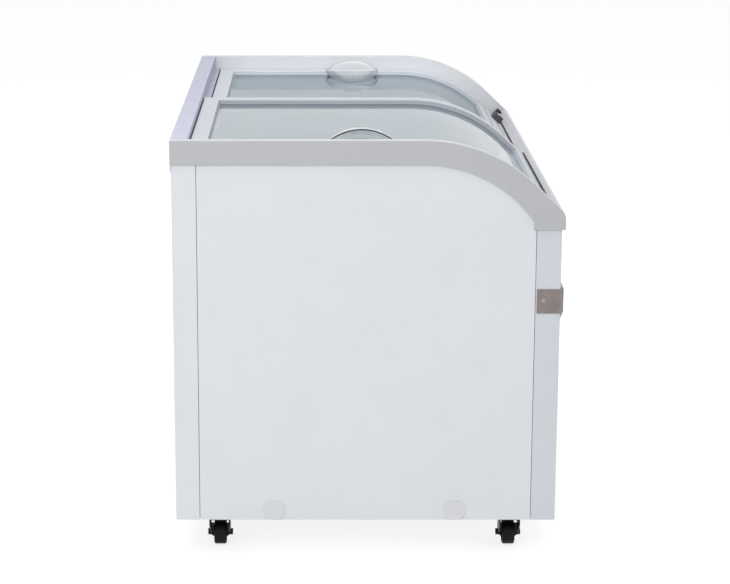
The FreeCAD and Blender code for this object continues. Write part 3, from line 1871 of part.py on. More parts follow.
def caster_wheel():
    """Solid tyre and hub with a dished web on both sides."""
    half = wheel_width / 2
    web = wheel_web / 2
    rim_in = wheel_radius - wheel_rim
    diagonal = math.sqrt(1 / 2)
    shoulder = wheel_radius - wheel_round + wheel_round * diagonal
    edge = half - wheel_round + wheel_round * diagonal
    bore = axle_radius + shaft_gap
    steps = [
        (bore, -hub_width / 2),
        (hub_radius, -hub_width / 2),
        (hub_radius, -web),
        (rim_in, -web),
        (rim_in, -half),
        (wheel_radius - wheel_round, -half),
        ((shoulder, -edge), (wheel_radius, -half + wheel_round)),
        (wheel_radius, half - wheel_round),
        ((shoulder, edge), (wheel_radius - wheel_round, half)),
        (rim_in, half),
        (rim_in, web),
        (hub_radius, web),
        (hub_radius, hub_width / 2),
        (bore, hub_width / 2),
    ]

    def place(point):
        return vec(caster_trail + point[0], point[1], wheel_radius)

    return face_of(steps, place).revolve(vec(caster_trail, 0, wheel_radius), ALONG_Y)


def caster_axle():
    """Bolt through the fork bosses with a hexagon head and nut."""
    reach = fork_half_width + seat_gap
    start = vec(caster_trail, -reach, wheel_radius)
    shank = rod(axle_radius, start, vec(caster_trail, reach, wheel_radius))
    pieces = [shank]
    for side in (-1, 1):
        corners = []
        for i in range(7):
            angle = i * math.pi / 3
            x = caster_trail + axle_head_radius * math.cos(angle)
            corners.append(vec(x, side * reach, wheel_radius + axle_head_radius * math.sin(angle)))
        face = Part.Face(Part.makePolygon(corners))
        pieces.append(face.extrude(ALONG_Y * (side * axle_head_length)))
    return join(pieces)


plates = []
for corner, x, y in caster_places():
    place = vec(x, y, 0)
    fork = Part.makeCompound([caster_fork(), caster_axle()])
    for piece, shape in (("fork", fork), ("wheel", caster_wheel())):
        shape.translate(place)
        save(f"{corner}_caster_{piece}", shape)
    plates.append(caster_plate())
    plates[-1].translate(place)
save("caster_plates", plates)
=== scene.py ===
"""Looks of the display freezer: finishes, fittings, floor, light and camera around the frame."""

import json
import logging
import math
from collections.abc import Callable, Iterable
from dataclasses import dataclass
from enum import Enum

import bmesh
import bpy
from mathutils import Matrix, Vector

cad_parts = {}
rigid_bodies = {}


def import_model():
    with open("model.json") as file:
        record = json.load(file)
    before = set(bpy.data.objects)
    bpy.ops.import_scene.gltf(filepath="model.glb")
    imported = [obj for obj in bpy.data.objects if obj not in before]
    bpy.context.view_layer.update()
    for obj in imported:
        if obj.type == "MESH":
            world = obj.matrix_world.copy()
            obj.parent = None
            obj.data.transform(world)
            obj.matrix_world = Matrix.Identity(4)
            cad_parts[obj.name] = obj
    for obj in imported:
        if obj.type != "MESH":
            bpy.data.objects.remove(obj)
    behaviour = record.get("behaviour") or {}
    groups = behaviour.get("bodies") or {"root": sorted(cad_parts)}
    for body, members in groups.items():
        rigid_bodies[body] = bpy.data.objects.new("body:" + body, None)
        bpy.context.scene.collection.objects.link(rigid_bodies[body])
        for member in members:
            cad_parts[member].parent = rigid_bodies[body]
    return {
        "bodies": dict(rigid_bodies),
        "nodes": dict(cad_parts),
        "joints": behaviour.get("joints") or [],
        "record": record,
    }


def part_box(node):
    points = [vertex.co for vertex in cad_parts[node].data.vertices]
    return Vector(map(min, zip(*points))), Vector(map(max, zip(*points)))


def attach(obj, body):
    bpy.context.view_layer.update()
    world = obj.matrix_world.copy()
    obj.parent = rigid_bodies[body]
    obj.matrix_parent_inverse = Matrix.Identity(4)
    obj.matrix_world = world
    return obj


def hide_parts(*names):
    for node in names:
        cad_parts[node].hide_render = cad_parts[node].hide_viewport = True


log = logging.getLogger("display_freezer")

Colour = tuple[float, float, float]
Place = tuple[float, float, float]
Pair = tuple[float, float]
Shape = bmesh.types.BMesh
Node = bpy.types.Node
Socket = bpy.types.NodeSocket

# Lengths are in metres in the row frame
MM = 0.001
HALF_LENGTH = 600 * MM
CABINET = "cabinet"

# Joining points, finding edges, shading over them and rounding wire
WELD = 2e-6
TOUCH = 1e-6
FLAT = math.radians(0.6)
SHARP = math.radians(38)
CREASE = math.radians(50)
WIRE_SIDES = 8

# Patterns that all finishes share
NOISE_DARK = 0.3
NOISE_LIGHT = 0.7
SMEAR_SIZE = 35 * MM
SMEAR_DETAIL = 4.0
SMEAR_SHARE = 0.12
LEAST_ROUGHNESS = 0.02
GRAIN_DETAIL = 2.0
GRAIN_RELIEF = 0.35
BRUSH_SQUEEZE = 0.04
SPANGLE_GRAINS = 9
COAT_ROUGHNESS = 0.12
PANE_WAVE = 250 * MM
PANE_RELIEF = 0.02
LENS_COAT = 0.8


def srgb(red: int, green: int, blue: int) -> Colour:
    """A screen colour as linear light.

    Args:
        red: its red, 0 to 255.
        green: its green.
        blue: its blue.

    Returns:
        The linear colour, 0 to 1.
    """

    def linear(level: float) -> float:
        """One channel as linear light, by the standard curve of such colours."""
        return level / 12.92 if level <= 0.04045 else ((level + 0.055) / 1.055) ** 2.4

    return (linear(red / 255), linear(green / 255), linear(blue / 255))


def middle_of(node: str) -> Vector:
    """Middle of a node's box."""
    low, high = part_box(node)
    return (low + high) / 2


class Grain(Enum):
    """The small surface pattern of a finish."""

    MOULDED = "moulded"
    POWDER_COAT = "powder coat"
    BRUSHED = "brushed"
    STUCCO = "stucco"
    SPANGLE = "spangle"
    FOAM = "foam"
    BRISTLE = "bristle"
    POLISHED = "polished"


class Axis(Enum):
    """An axis of the row frame."""

    X = 0
    Y = 1
    Z = 2

    @property
    def vector(self) -> Vector:
        """Unit vector along the axis."""
        return Vector([1.0 if i == self.value else 0.0 for i in range(3)])


class NodeBoard:
    """Lays out and joins shader nodes."""

    def __init__(self, tree: bpy.types.NodeTree) -> None:
        """Start from an empty tree."""
        self.tree = tree
        tree.nodes.clear()

    def add(self, kind: str, **values: object) -> Node:
        """Add a node.

        Args:
            kind: the node's type name without its ShaderNode start.
            **values: attributes of the node.

        Returns:
            The new node.
        """
        node = self.tree.nodes.new("ShaderNode" + kind)
        for name, value in values.items():
            setattr(node, name, value)
        return node

    def join(self, source: Socket, target: Socket) -> None:
        """Link two sockets."""
        self.tree.links.new(source, target)

    def noise(self, place: Socket, size: float, detail: float = 3.0) -> Socket:
        """A noise pattern.

        Args:
            place: coordinates in metres.
            size: width of one blotch.
            detail: octaves.

        Returns:
            The pattern's value socket.
        """
        node = self.add("TexNoise")
        node.inputs["Scale"].default_value = 1 / size
        node.inputs["Detail"].default_value = detail
        self.join(place, node.inputs["Vector"])
        return node.outputs["Fac"]

    def spread(self, source: Socket, low: float, high: float) -> Socket:
        """Map a pattern's middle range to values from low to high.

        Args:
            source: a value around one half.
            low: value at the pattern's dark end.
            high: value at its light end.

        Returns:
            The mapped value socket.
        """
        node = self.add("MapRange")
        node.inputs["From Min"].default_value = NOISE_DARK
        node.inputs["From Max"].default_value = NOISE_LIGHT
        node.inputs["To Min"].default_value = low
        node.inputs["To Max"].default_value = high
        self.join(source, node.inputs["Value"])
        return node.outputs["Result"]

    def seen_directly(self) -> Socket:
        """One for rays that the camera, a mirror or glass sends out, else zero.

        Returns:
            The value socket.
        """
        path = self.add("LightPath")
        first = self.add("Math", operation="MAXIMUM")
        self.join(path.outputs["Is Camera Ray"], first.inputs[0])
        self.join(path.outputs["Is Glossy Ray"], first.inputs[1])
        second = self.add("Math", operation="MAXIMUM")
        self.join(first.outputs[0], second.inputs[0])
        self.join(path.outputs["Is Transmission Ray"], second.inputs[1])
        return second.outputs[0]

    def show(self, hidden: Socket, shown: Socket, output: str) -> None:
        """Send one shader to rays that see directly and another to the rest.

        Args:
            hidden: the shader that lights the object.
            shown: the shader that the eye sees.
            output: type name of the output node.
        """
        mix = self.add("MixShader")
        self.join(self.seen_directly(), mix.inputs["Fac"])
        self.join(hidden, mix.inputs[1])
        self.join(shown, mix.inputs[2])
        self.join(mix.outputs["Shader"], self.add(output).inputs["Surface"])


class SurfaceBoard(NodeBoard):
    """The nodes of a finish: place on the object, shader and output."""

    def __init__(self, tree: bpy.types.NodeTree) -> None:
        """Start with the coordinates and a shader joined to the output.

        Args:
            tree: the material's node tree.
        """
        super().__init__(tree)
        self.place: Socket = self.add("TexCoord").outputs["Object"]
        self.shader: Node = self.add("BsdfPrincipled")
        self.join(self.shader.outputs["BSDF"], self.add("OutputMaterial").inputs["Surface"])

    def relief(self, height: Socket, strength: float, distance: float) -> None:
        """Give the shader a fine relief.

        Args:
            height: the relief's pattern.
            strength: its weight.
            distance: its depth.
        """
        bump = self.add("Bump")
        bump.inputs["Strength"].default_value = strength
        bump.inputs["Distance"].default_value = distance
        self.join(height, bump.inputs["Height"])
        self.join(bump.outputs["Normal"], self.shader.inputs["Normal"])


@dataclass(frozen=True)
class Finish:
    """An opaque finish with its tone, gloss and grain."""

    name: str
    colour: Colour
    roughness: float
    grain: Grain = Grain.MOULDED
    metallic: float = 0.0
    coat: float = 0.0
    shine: float = 0.5
    tone: float = 0.03
    blotch: float = 110 * MM
    grain_size: float = 1.2 * MM
    grain_depth: float = 0.12
    run: Axis = Axis.X
    # Share of painted shade that darkens the colour towards the part's far end, standing in for
    # sheen lost there
    far_end_painted_shade: float = 0.0

    def material(self) -> bpy.types.Material:
        """The finish as a material, made once.

        Returns:
            The material.
        """
        made = bpy.data.materials.get(self.name)
        if made is not None:
            return made
        made = bpy.data.materials.new(self.name)
        made.use_nodes = True
        made.diffuse_color = (*self.colour, 1.0)
        board = SurfaceBoard(made.node_tree)
        self.tone_layer(board)
        self.gloss_layer(board)
        self.grain_layer(board)
        self.extras(board.shader)
        return made

    def tone_layer(self, board: SurfaceBoard) -> None:
        """Colour that drifts a little over the surface, as a moulded or painted one does.

        Args:
            board: the finish's nodes.
        """
        mix = board.add("Mix", data_type="RGBA")
        dark = tuple(channel * (1 - self.tone) for channel in self.colour)
        light = tuple(min(1.0, channel * (1 + self.tone)) for channel in self.colour)
        mix.inputs["A"].default_value = (*dark, 1.0)
        mix.inputs["B"].default_value = (*light, 1.0)
        if self.grain is Grain.SPANGLE:
            cells = board.add("TexVoronoi")
            cells.inputs["Scale"].default_value = 1 / (self.grain_size * SPANGLE_GRAINS)
            board.join(board.place, cells.inputs["Vector"])
            split = board.add("SeparateColor")
            board.join(cells.outputs["Color"], split.inputs["Color"])
            board.join(split.outputs["Red"], mix.inputs["Factor"])
        else:
            drift = board.spread(board.noise(board.place, self.blotch), 0.0, 1.0)
            board.join(drift, mix.inputs["Factor"])
        board.join(self.with_far_end_painted_shade(board, mix.outputs["Result"]), board.shader.inputs["Base Color"])

    def with_far_end_painted_shade(self, board: SurfaceBoard, colour: Socket) -> Socket:
        """The colour with painted shade: a little darker towards the far end of the part,
        standing in for the sheen the trim loses there.

        Args:
            board: the finish's nodes.
            colour: the even colour.

        Returns:
            The socket of the colour to use.
        """
        if self.far_end_painted_shade == 0:
            return colour
        split = board.add("SeparateXYZ")
        board.join(board.place, split.inputs["Vector"])
        along = board.add("MapRange")
        along.inputs["From Min"].default_value = -HALF_LENGTH
        along.inputs["From Max"].default_value = HALF_LENGTH
        along.inputs["To Min"].default_value = 0.0
        along.inputs["To Max"].default_value = self.far_end_painted_shade
        board.join(split.outputs[self.run.value], along.inputs["Value"])
        shade_mix = board.add("Mix", data_type="RGBA")
        shade_mix.inputs["B"].default_value = (0.0, 0.0, 0.0, 1.0)
        board.join(along.outputs["Result"], shade_mix.inputs["Factor"])
        board.join(colour, shade_mix.inputs["A"])
        return shade_mix.outputs["Result"]

    def gloss_layer(self, board: SurfaceBoard) -> None:
        """Roughness with faint smears.

        Args:
            board: the finish's nodes.
        """
        low = max(LEAST_ROUGHNESS, self.roughness * (1 - SMEAR_SHARE))
        high = self.roughness * (1 + SMEAR_SHARE)
        smear = board.noise(board.place, SMEAR_SIZE, SMEAR_DETAIL)
        board.join(board.spread(smear, low, high), board.shader.inputs["Roughness"])

    def grain_layer(self, board: SurfaceBoard) -> None:
        """Relief of the grain.

        Args:
            board: the finish's nodes.
        """
        if self.grain in (Grain.BRUSHED, Grain.BRISTLE):
            stretch = board.add("Mapping")
            squeeze = [1.0, 1.0, 1.0]
            squeeze[self.run.value] = BRUSH_SQUEEZE
            stretch.inputs["Scale"].default_value = squeeze
            board.join(board.place, stretch.inputs["Vector"])
            height = board.noise(stretch.outputs["Vector"], self.grain_size, GRAIN_DETAIL)
        elif self.grain in (Grain.STUCCO, Grain.FOAM):
            cells = board.add("TexVoronoi", feature="SMOOTH_F1")
            cells.inputs["Scale"].default_value = 1 / self.grain_size
            board.join(board.place, cells.inputs["Vector"])
            height = cells.outputs["Distance"]
        else:
            height = board.noise(board.place, self.grain_size, GRAIN_DETAIL)
        board.relief(height, self.grain_depth, self.grain_size * GRAIN_RELIEF)

    def extras(self, shader: Node) -> None:
        """Constants that the shader's own sockets hold.

        Args:
            shader: the finish's shader.
        """
        shader.inputs["Metallic"].default_value = self.metallic
        shader.inputs["Specular IOR Level"].default_value = self.shine
        shader.inputs["Coat Weight"].default_value = self.coat
        shader.inputs["Coat Roughness"].default_value = COAT_ROUGHNESS


@dataclass(frozen=True)
class PaneFinish(Finish):
    """Clear glass or plastic with a faint tint and wiping smears."""

    clearness: float = 1.0
    bend: float = 1.45

    def grain_layer(self, board: SurfaceBoard) -> None:
        """Glass keeps its flat face; only a slow waviness shows in reflections.

        Args:
            board: the finish's nodes.
        """
        height = board.noise(board.place, PANE_WAVE, 1.0)
        board.relief(height, self.grain_depth, self.grain_size * PANE_RELIEF)

    def extras(self, shader: Node) -> None:
        """Transmission and refraction."""
        shader.inputs["Transmission Weight"].default_value = self.clearness
        shader.inputs["IOR"].default_value = self.bend


@dataclass(frozen=True)
class LensFinish(Finish):
    """Tinted lens with a weak glow."""

    glow: float = 0.25

    def extras(self, shader: Node) -> None:
        """Glow and clear coat.

        Args:
            shader: the finish's shader.
        """
        shader.inputs["Emission Color"].default_value = (*self.colour, 1.0)
        shader.inputs["Emission Strength"].default_value = self.glow
        shader.inputs["Coat Weight"].default_value = LENS_COAT


WHITE_PAINT = Finish(
    "white_paint", srgb(229, 231, 236), 0.34, Grain.POWDER_COAT, coat=0.25, tone=0.012,
    grain_size=2.2 * MM, grain_depth=0.05,
)
# Same white paint as the other skins, made darker as painted shade for the front panel's dimmer
# light
FRONT_PAINT_SHADED = Finish(
    "front_paint_shaded", srgb(215, 219, 225), 0.34, Grain.POWDER_COAT, coat=0.25, tone=0.012,
    grain_size=2.2 * MM, grain_depth=0.05,
)
TRIM_GREY = Finish("trim_grey", srgb(191, 192, 196), 0.42, tone=0.015, grain_depth=0.06)
# Rear trim with painted shade: its colour darkens towards the far end
TRIM_LAVENDER = Finish(
    "trim_lavender", srgb(179, 181, 200), 0.42, tone=0.015, grain_depth=0.05, far_end_painted_shade=0.2
)
LID_GREY = Finish("lid_grey", srgb(182, 186, 193), 0.4, tone=0.015, grain_depth=0.05)
PULL_CLEAR = PaneFinish(
    "pull_clear", srgb(248, 250, 252), 0.1, tone=0.01, grain_depth=0.1, clearness=0.84,
    bend=1.18,
)
# Dark colour of the clear pull's lip bead: painted shade for the line of shade and refraction
# along the lip
PULL_EDGE_SHADE = Finish("pull_edge_painted_shade", srgb(58, 62, 70), 0.6, shine=0.1)
NEAR_GLASS = PaneFinish("lid_glass_near", srgb(226, 240, 248), 0.04, tone=0.02, grain_depth=0.2)
# Same lid glass as the near lid, tinted darker and greener as painted shade for the far lid's
# darker look
FAR_GLASS_SHADED = PaneFinish("lid_glass_far_shaded", srgb(134, 178, 192), 0.04, tone=0.08, grain_depth=0.2)
GASKET = Finish("glazing_gasket", srgb(158, 168, 176), 0.6, tone=0.05)
LINER_SHEET = Finish(
    "liner_sheet", srgb(214, 217, 220), 0.42, Grain.STUCCO, metallic=0.25, tone=0.02,
    grain_size=9 * MM, grain_depth=0.35,
)
GALVANISED = Finish(
    "galvanised", srgb(176, 180, 184), 0.42, Grain.SPANGLE, metallic=0.85, tone=0.09
)
BRACKET_STEEL = Finish(
    "bracket_steel", srgb(137, 127, 125), 0.36, Grain.BRUSHED, metallic=0.4, tone=0.12,
    blotch=18 * MM, grain_size=0.7 * MM, grain_depth=0.1, run=Axis.Y,
)
SCREW_STEEL = Finish("screw_steel", srgb(186, 186, 188), 0.22, Grain.POLISHED, metallic=1.0)
BRACKET_SCREW = Finish("bracket_screw", srgb(158, 152, 152), 0.4, Grain.POLISHED, metallic=0.5)
COPPER = Finish(
    "copper_tube", srgb(196, 122, 84), 0.3, Grain.POLISHED, metallic=0.95, tone=0.12
)
BLACK_ENAMEL = Finish(
    "black_enamel", srgb(30, 31, 34), 0.28, Grain.POWDER_COAT, coat=0.4, tone=0.15,
    grain_size=2.5 * MM,
)
BLACK_PLASTIC = Finish("black_plastic", srgb(34, 34, 37), 0.5, tone=0.12)
GREY_PLASTIC = Finish("grey_plastic", srgb(186, 188, 193), 0.46)
BLACK_ZINC = Finish(
    "black_zinc", srgb(16, 16, 18), 0.4, Grain.BRUSHED, metallic=0.3, shine=0.25, tone=0.15,
    grain_size=0.8 * MM, run=Axis.Z,
)
CAP_WHITE = Finish("cap_white", srgb(224, 225, 230), 0.42, tone=0.02)
NYLON = Finish("nylon", srgb(224, 224, 218), 0.45)
TREAD_RUBBER = Finish(
    "tread_rubber", srgb(19, 18, 20), 0.55, shine=0.15, tone=0.18, grain_depth=0.3
)
SEAL_RUBBER = Finish("seal_rubber", srgb(24, 24, 26), 0.68, tone=0.1)
BRISTLES = Finish(
    "brush_seal", srgb(40, 40, 43), 0.85, Grain.BRISTLE, tone=0.2, grain_size=0.9 * MM,
    grain_depth=0.6, run=Axis.Z,
)
FAN_METAL = Finish("fan_metal", srgb(176, 178, 182), 0.36, Grain.BRUSHED, metallic=0.8)
RIGID_FOAM = Finish(
    "rigid_foam", srgb(229, 206, 150), 0.85, Grain.FOAM, tone=0.08, grain_size=4 * MM,
    grain_depth=0.5,
)
DIAL_GREY = Finish("dial_marks", srgb(60, 62, 68), 0.5)
GREEN_LENS = LensFinish("green_lens", srgb(70, 190, 90), 0.15, grain_depth=0.02)


def weigh_normals(mesh: bpy.types.Mesh) -> None:
    """Shade smoothly with normals weighted by face area, so that broad flats stay flat.

    Args:
        mesh: the mesh to shade; faces that differ by more than CREASE aren't blended.
    """
    limit = math.cos(CREASE)
    around: list[list[bpy.types.MeshPolygon]] = [[] for _ in mesh.vertices]
    for polygon in mesh.polygons:
        for index in polygon.vertices:
            around[index].append(polygon)
    facts = [(polygon.normal.copy(), polygon.area) for polygon in mesh.polygons]
    normals = []
    for polygon in mesh.polygons:
        own = facts[polygon.index][0]
        for index in polygon.vertices:
            blend = Vector()
            for neighbour in around[index]:
                normal, area = facts[neighbour.index]
                if normal.dot(own) > limit:
                    blend += normal * area
            normals.append(blend.normalized() if blend.length > 0 else own)
    mesh.normals_split_custom_set(normals)


def add_piece(name: str, bm: Shape, finish: Finish, body: str) -> bpy.types.Object:
    """Turn a shape into a piece that rides on a body.

    Args:
        name: the piece's name.
        bm: the shape; it is freed.
        finish: the finish of all its faces.
        body: the moving body it belongs to.

    Returns:
        The new object.
    """
    mesh = bpy.data.meshes.new(name)
    for face in bm.faces:
        face.smooth = True
    bm.to_mesh(mesh)
    bm.free()
    weigh_normals(mesh)
    piece = bpy.data.objects.new(name, mesh)
    bpy.context.collection.objects.link(piece)
    mesh.materials.append(finish.material())
    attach(piece, body)
    log.info("piece %s: %d faces on %s", name, len(mesh.polygons), body)
    return piece


def bevel_edges(bm: Shape, edges: list[bmesh.types.BMEdge], radius: float) -> None:
    """Round some edges of a shape.

    Args:
        bm: the shape.
        edges: the edges to round.
        radius: their radius.
    """
    bmesh.ops.bevel(
        bm, geom=edges, offset=radius, offset_type="OFFSET", segments=2, profile=0.5,
        affect="EDGES", clamp_overlap=True, material=-1,
    )


def box_mesh(low: Vector, high: Vector, radius: float = 0.0) -> Shape:
    """A box with rounded edges.

    Args:
        low: lowest corner.
        high: highest corner.
        radius: edge radius.

    Returns:
        The shape.
    """
    bm = bmesh.new()
    bmesh.ops.create_cube(bm, size=1.0)
    bmesh.ops.scale(bm, vec=high - low, verts=bm.verts)
    bmesh.ops.translate(bm, vec=(low + high) / 2, verts=bm.verts)
    if radius > 0:
        bevel_edges(bm, list(bm.edges), radius)
    return bm


def disc_mesh(
    centre: Vector, axis: Vector, radius: float, length: float, sides: int,
    edge: float = 0.0,
) -> Shape:
    """A round bar or disc.

    Args:
        centre: middle of the bar.
        axis: direction of its axis.
        radius: its radius.
        length: its length along the axis.
        sides: number of sides.
        edge: radius of its two round edges.

    Returns:
        The shape.
    """
    bm = bmesh.new()
    bmesh.ops.create_cone(
        bm, cap_ends=True, cap_tris=False, segments=sides, radius1=radius, radius2=radius,
        depth=length,
    )
    if edge > 0:
        rims = [e for e in bm.edges if abs(e.verts[0].co.z - e.verts[1].co.z) < length / 2]
        bevel_edges(bm, rims, edge)
    turn = Axis.Z.vector.rotation_difference(axis).to_matrix().to_4x4()
    bmesh.ops.transform(bm, matrix=Matrix.Translation(centre) @ turn, verts=bm.verts)
    return bm


def hoop_mesh(
    centre: Vector, axis: Vector, radius: float, wire: float, sides: int = 40,
    sweep: float = math.tau,
) -> Shape:
    """A ring of round wire, or part of one, spun from a small circle.

    Args:
        centre: middle of the ring.
        axis: direction of its axis; a part ring is centred on its highest point.
        radius: radius to the middle of the wire.
        wire: radius of the wire.
        sides: steps round the ring.
        sweep: angle that the ring covers.

    Returns:
        The shape.
    """
    whole = sweep > math.tau - TOUCH
    bm = bmesh.new()
    bmesh.ops.create_circle(bm, cap_ends=not whole, radius=wire, segments=WIRE_SIDES)
    bmesh.ops.rotate(bm, matrix=Matrix.Rotation(math.pi / 2, 3, "X"), verts=bm.verts)
    bmesh.ops.translate(bm, vec=Vector((radius, 0, 0)), verts=bm.verts)
    start = Matrix.Rotation(math.pi / 2 - sweep / 2, 3, "Z")
    bmesh.ops.rotate(bm, matrix=start, verts=bm.verts)
    bmesh.ops.spin(
        bm, geom=list(bm.verts) + list(bm.edges) + list(bm.faces), cent=(0, 0, 0),
        axis=(0, 0, 1), angle=sweep, steps=sides, use_merge=whole,
    )
    bmesh.ops.remove_doubles(bm, verts=bm.verts, dist=TOUCH)
    bmesh.ops.recalc_face_normals(bm, faces=bm.faces)
    upright = abs(axis.z) > 0.5
    side = Axis.Y.vector.cross(axis) if upright else Axis.Z.vector.cross(axis)
    turn = Matrix((side, axis.cross(side), axis)).transposed().to_4x4()
    bmesh.ops.transform(bm, matrix=Matrix.Translation(centre) @ turn, verts=bm.verts)
    return bm


def wire_mesh(points: list[Vector], radius: float) -> Shape:
    """A round lead that swings smoothly from its first point to its last.

    Args:
        points: places that pull the lead along.
        radius: radius of the lead.

    Returns:
        The shape.
    """
    curve = bpy.data.curves.new("lead", "CURVE")
    curve.dimensions = "3D"
    curve.bevel_depth = radius
    curve.bevel_resolution = 2
    curve.use_fill_caps = True
    spline = curve.splines.new("NURBS")
    spline.points.add(len(points) - 1)
    for point, place in zip(spline.points, points):
        point.co = (*place, 1.0)
    spline.use_endpoint_u = True
    spline.order_u = 3
    carrier = bpy.data.objects.new("lead", curve)
    bm = bmesh.new()
    bm.from_mesh(carrier.to_mesh())
    carrier.to_mesh_clear()
    bpy.data.objects.remove(carrier)
    bpy.data.curves.remove(curve)
    bmesh.ops.remove_doubles(bm, verts=bm.verts, dist=TOUCH)
    bmesh.ops.recalc_face_normals(bm, faces=bm.faces)
    return bm


def merge_meshes(parts: Iterable[Shape]) -> Shape:
    """Gather several shapes in one.

    Args:
        parts: shapes; each is freed.

    Returns:
        The gathered shape.
    """
    gathered = bmesh.new()
    for part in parts:
        carrier = bpy.data.meshes.new("carrier")
        part.to_mesh(carrier)
        part.free()
        gathered.from_mesh(carrier)
        bpy.data.meshes.remove(carrier)
    return gathered


@dataclass(frozen=True)
class RimCurve:
    """The rim's curve over the lids: level, then an arc, then the front slope."""

    front: float = -384 * MM
    setback: float = 62.6 * MM
    radius: float = 310 * MM
    top: float = 850 * MM
    slope: float = math.radians(43.5)
    step: float = 9 * MM

    def place(self, along: float, drop: float) -> Pair:
        """A point of the curve.

        Args:
            along: distance forward of the level part's end, along the curve's outer line.
            drop: depth inside the outer line.

        Returns:
            The point's y and z.
        """
        crown_y = self.front + self.setback + self.radius * math.sin(self.slope)
        angle = min(max(along / self.radius, 0.0), self.slope)
        run = max(along - self.radius * self.slope, 0.0)
        reach = self.radius - drop
        y = crown_y - min(along, 0.0) - reach * math.sin(angle) - run * math.cos(angle)
        z = self.top - self.radius + reach * math.cos(angle) - run * math.sin(angle)
        return y, z

    def along_of_run(self, run: float) -> float:
        """Distance along the curve at a run down the front slope."""
        return self.radius * self.slope + run

    def along_of_y(self, y: float) -> float:
        """Distance along the curve at a y on its level part."""
        return self.front + self.setback + self.radius * math.sin(self.slope) - y

    def strip(self, xs: Pair, alongs: Pair, drops: Pair) -> Shape:
        """A bar that follows the curve.

        Args:
            xs: its two ends across.
            alongs: its start and end along the curve.
            drops: its top and underside.

        Returns:
            The shape.
        """
        bm = box_mesh(Vector((xs[0], alongs[0], drops[0])), Vector((xs[1], alongs[1], drops[1])))
        cuts = max(1, round((alongs[1] - alongs[0]) / self.step))
        long_edges = [e for e in bm.edges if abs(e.verts[0].co.y - e.verts[1].co.y) > TOUCH]
        bmesh.ops.subdivide_edges(bm, edges=long_edges, cuts=cuts, use_grid_fill=True)
        for vert in bm.verts:
            y, z = self.place(vert.co.y, vert.co.z)
            vert.co = Vector((vert.co.x, y, z))
        bm.normal_update()
        bmesh.ops.recalc_face_normals(bm, faces=bm.faces)
        return bm


@dataclass(frozen=True)
class ScrewHead:
    """A domed screw head with a cross recess; its sizes are shares of its radius or rise."""

    rise: float = 0.42
    rounding: float = 0.6
    sides: int = 20
    bar_width: float = 0.2
    bar_depth: float = 0.24
    bar_height: float = 0.92

    def mesh(self, seat: Vector, out: Vector, radius: float) -> Shape:
        """One head.

        Args:
            seat: centre of the head's seat.
            out: direction that the head faces.
            radius: radius of the head.

        Returns:
            The shape.
        """
        rise = radius * self.rise
        round_edge = rise * self.rounding
        parts = [disc_mesh(seat + out * rise / 2, out, radius, rise, self.sides, round_edge)]
        for turn in (0.0, math.pi / 2):
            side = out.orthogonal().normalized()
            side.rotate(Matrix.Rotation(turn + math.pi / 4, 3, out))
            bar = box_mesh(Vector((-0.5, -0.5, -0.5)), Vector((0.5, 0.5, 0.5)))
            size = Matrix.Diagonal((radius, radius * self.bar_width, rise * self.bar_depth, 1.0))
            turned = Matrix((side, out.cross(side), out)).transposed().to_4x4()
            lifted = Matrix.Translation(seat + out * rise * self.bar_height)
            bmesh.ops.transform(bar, matrix=lifted @ turned @ size, verts=bar.verts)
            parts.append(bar)
        return merge_meshes(parts)


RIM = RimCurve()
SCREW = ScrewHead()


@dataclass
class Assembly:
    """A sub-assembly that dresses its nodes of the frame and adds its fittings."""

    frame: dict
    body: str = CABINET
    edge: float = 0.4 * MM

    def shape_of(self, node: str) -> Shape:
        """A node's mesh as a shape, with its loose triangles joined.

        Args:
            node: the node's name.

        Returns:
            The shape.
        """
        bm = bmesh.new()
        bm.from_mesh(self.frame["nodes"][node].data)
        bmesh.ops.remove_doubles(bm, verts=bm.verts, dist=WELD)
        return bm

    def dress(self, node: str, finish: Finish) -> None:
        """Give a node of the frame its finish.

        Args:
            node: the node's name.
            finish: its finish.
        """
        data = self.frame["nodes"][node].data
        data.materials.clear()
        data.materials.append(finish.material())

    def soften(self, node: str, finish: Finish, slot: str) -> None:
        """Stand a copy with rounded edges in for a node.

        Args:
            node: the node's name.
            finish: the copy's finish.
            slot: the record's material slot; not used.
        """
        bm = self.shape_of(node)
        bmesh.ops.dissolve_limit(
            bm, angle_limit=FLAT, use_dissolve_boundaries=False,
            verts=bm.verts, edges=bm.edges, delimit=set(),
        )
        sharp = [
            e for e in bm.edges if len(e.link_faces) == 2 and e.calc_face_angle(0.0) > SHARP
        ]
        bevel_edges(bm, sharp, self.edge)
        copy = add_piece(node + "_softened", bm, finish, self.body)
        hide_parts(node)

    def fit(self, name: str, parts: Iterable[Shape], finish: Finish, slot: str) -> None:
        """Add a fitting made of one or more shapes.

        Args:
            name: the fitting's name.
            parts: its shapes.
            finish: its finish.
            slot: the record's material slot; not used.
        """
        add_piece(name, merge_meshes(parts), finish, self.body)

    def screw_on(self, name: str, seats: Iterable[Vector], out: Vector, radius: float) -> None:
        """Put screw heads on a face.

        Args:
            name: the fitting's name.
            seats: centres of the heads' seats.
            out: direction that the face looks.
            radius: radius of the heads.
        """
        heads = [SCREW.mesh(seat, out, radius) for seat in seats]
        self.fit(name, heads, SCREW_STEEL, "screw")


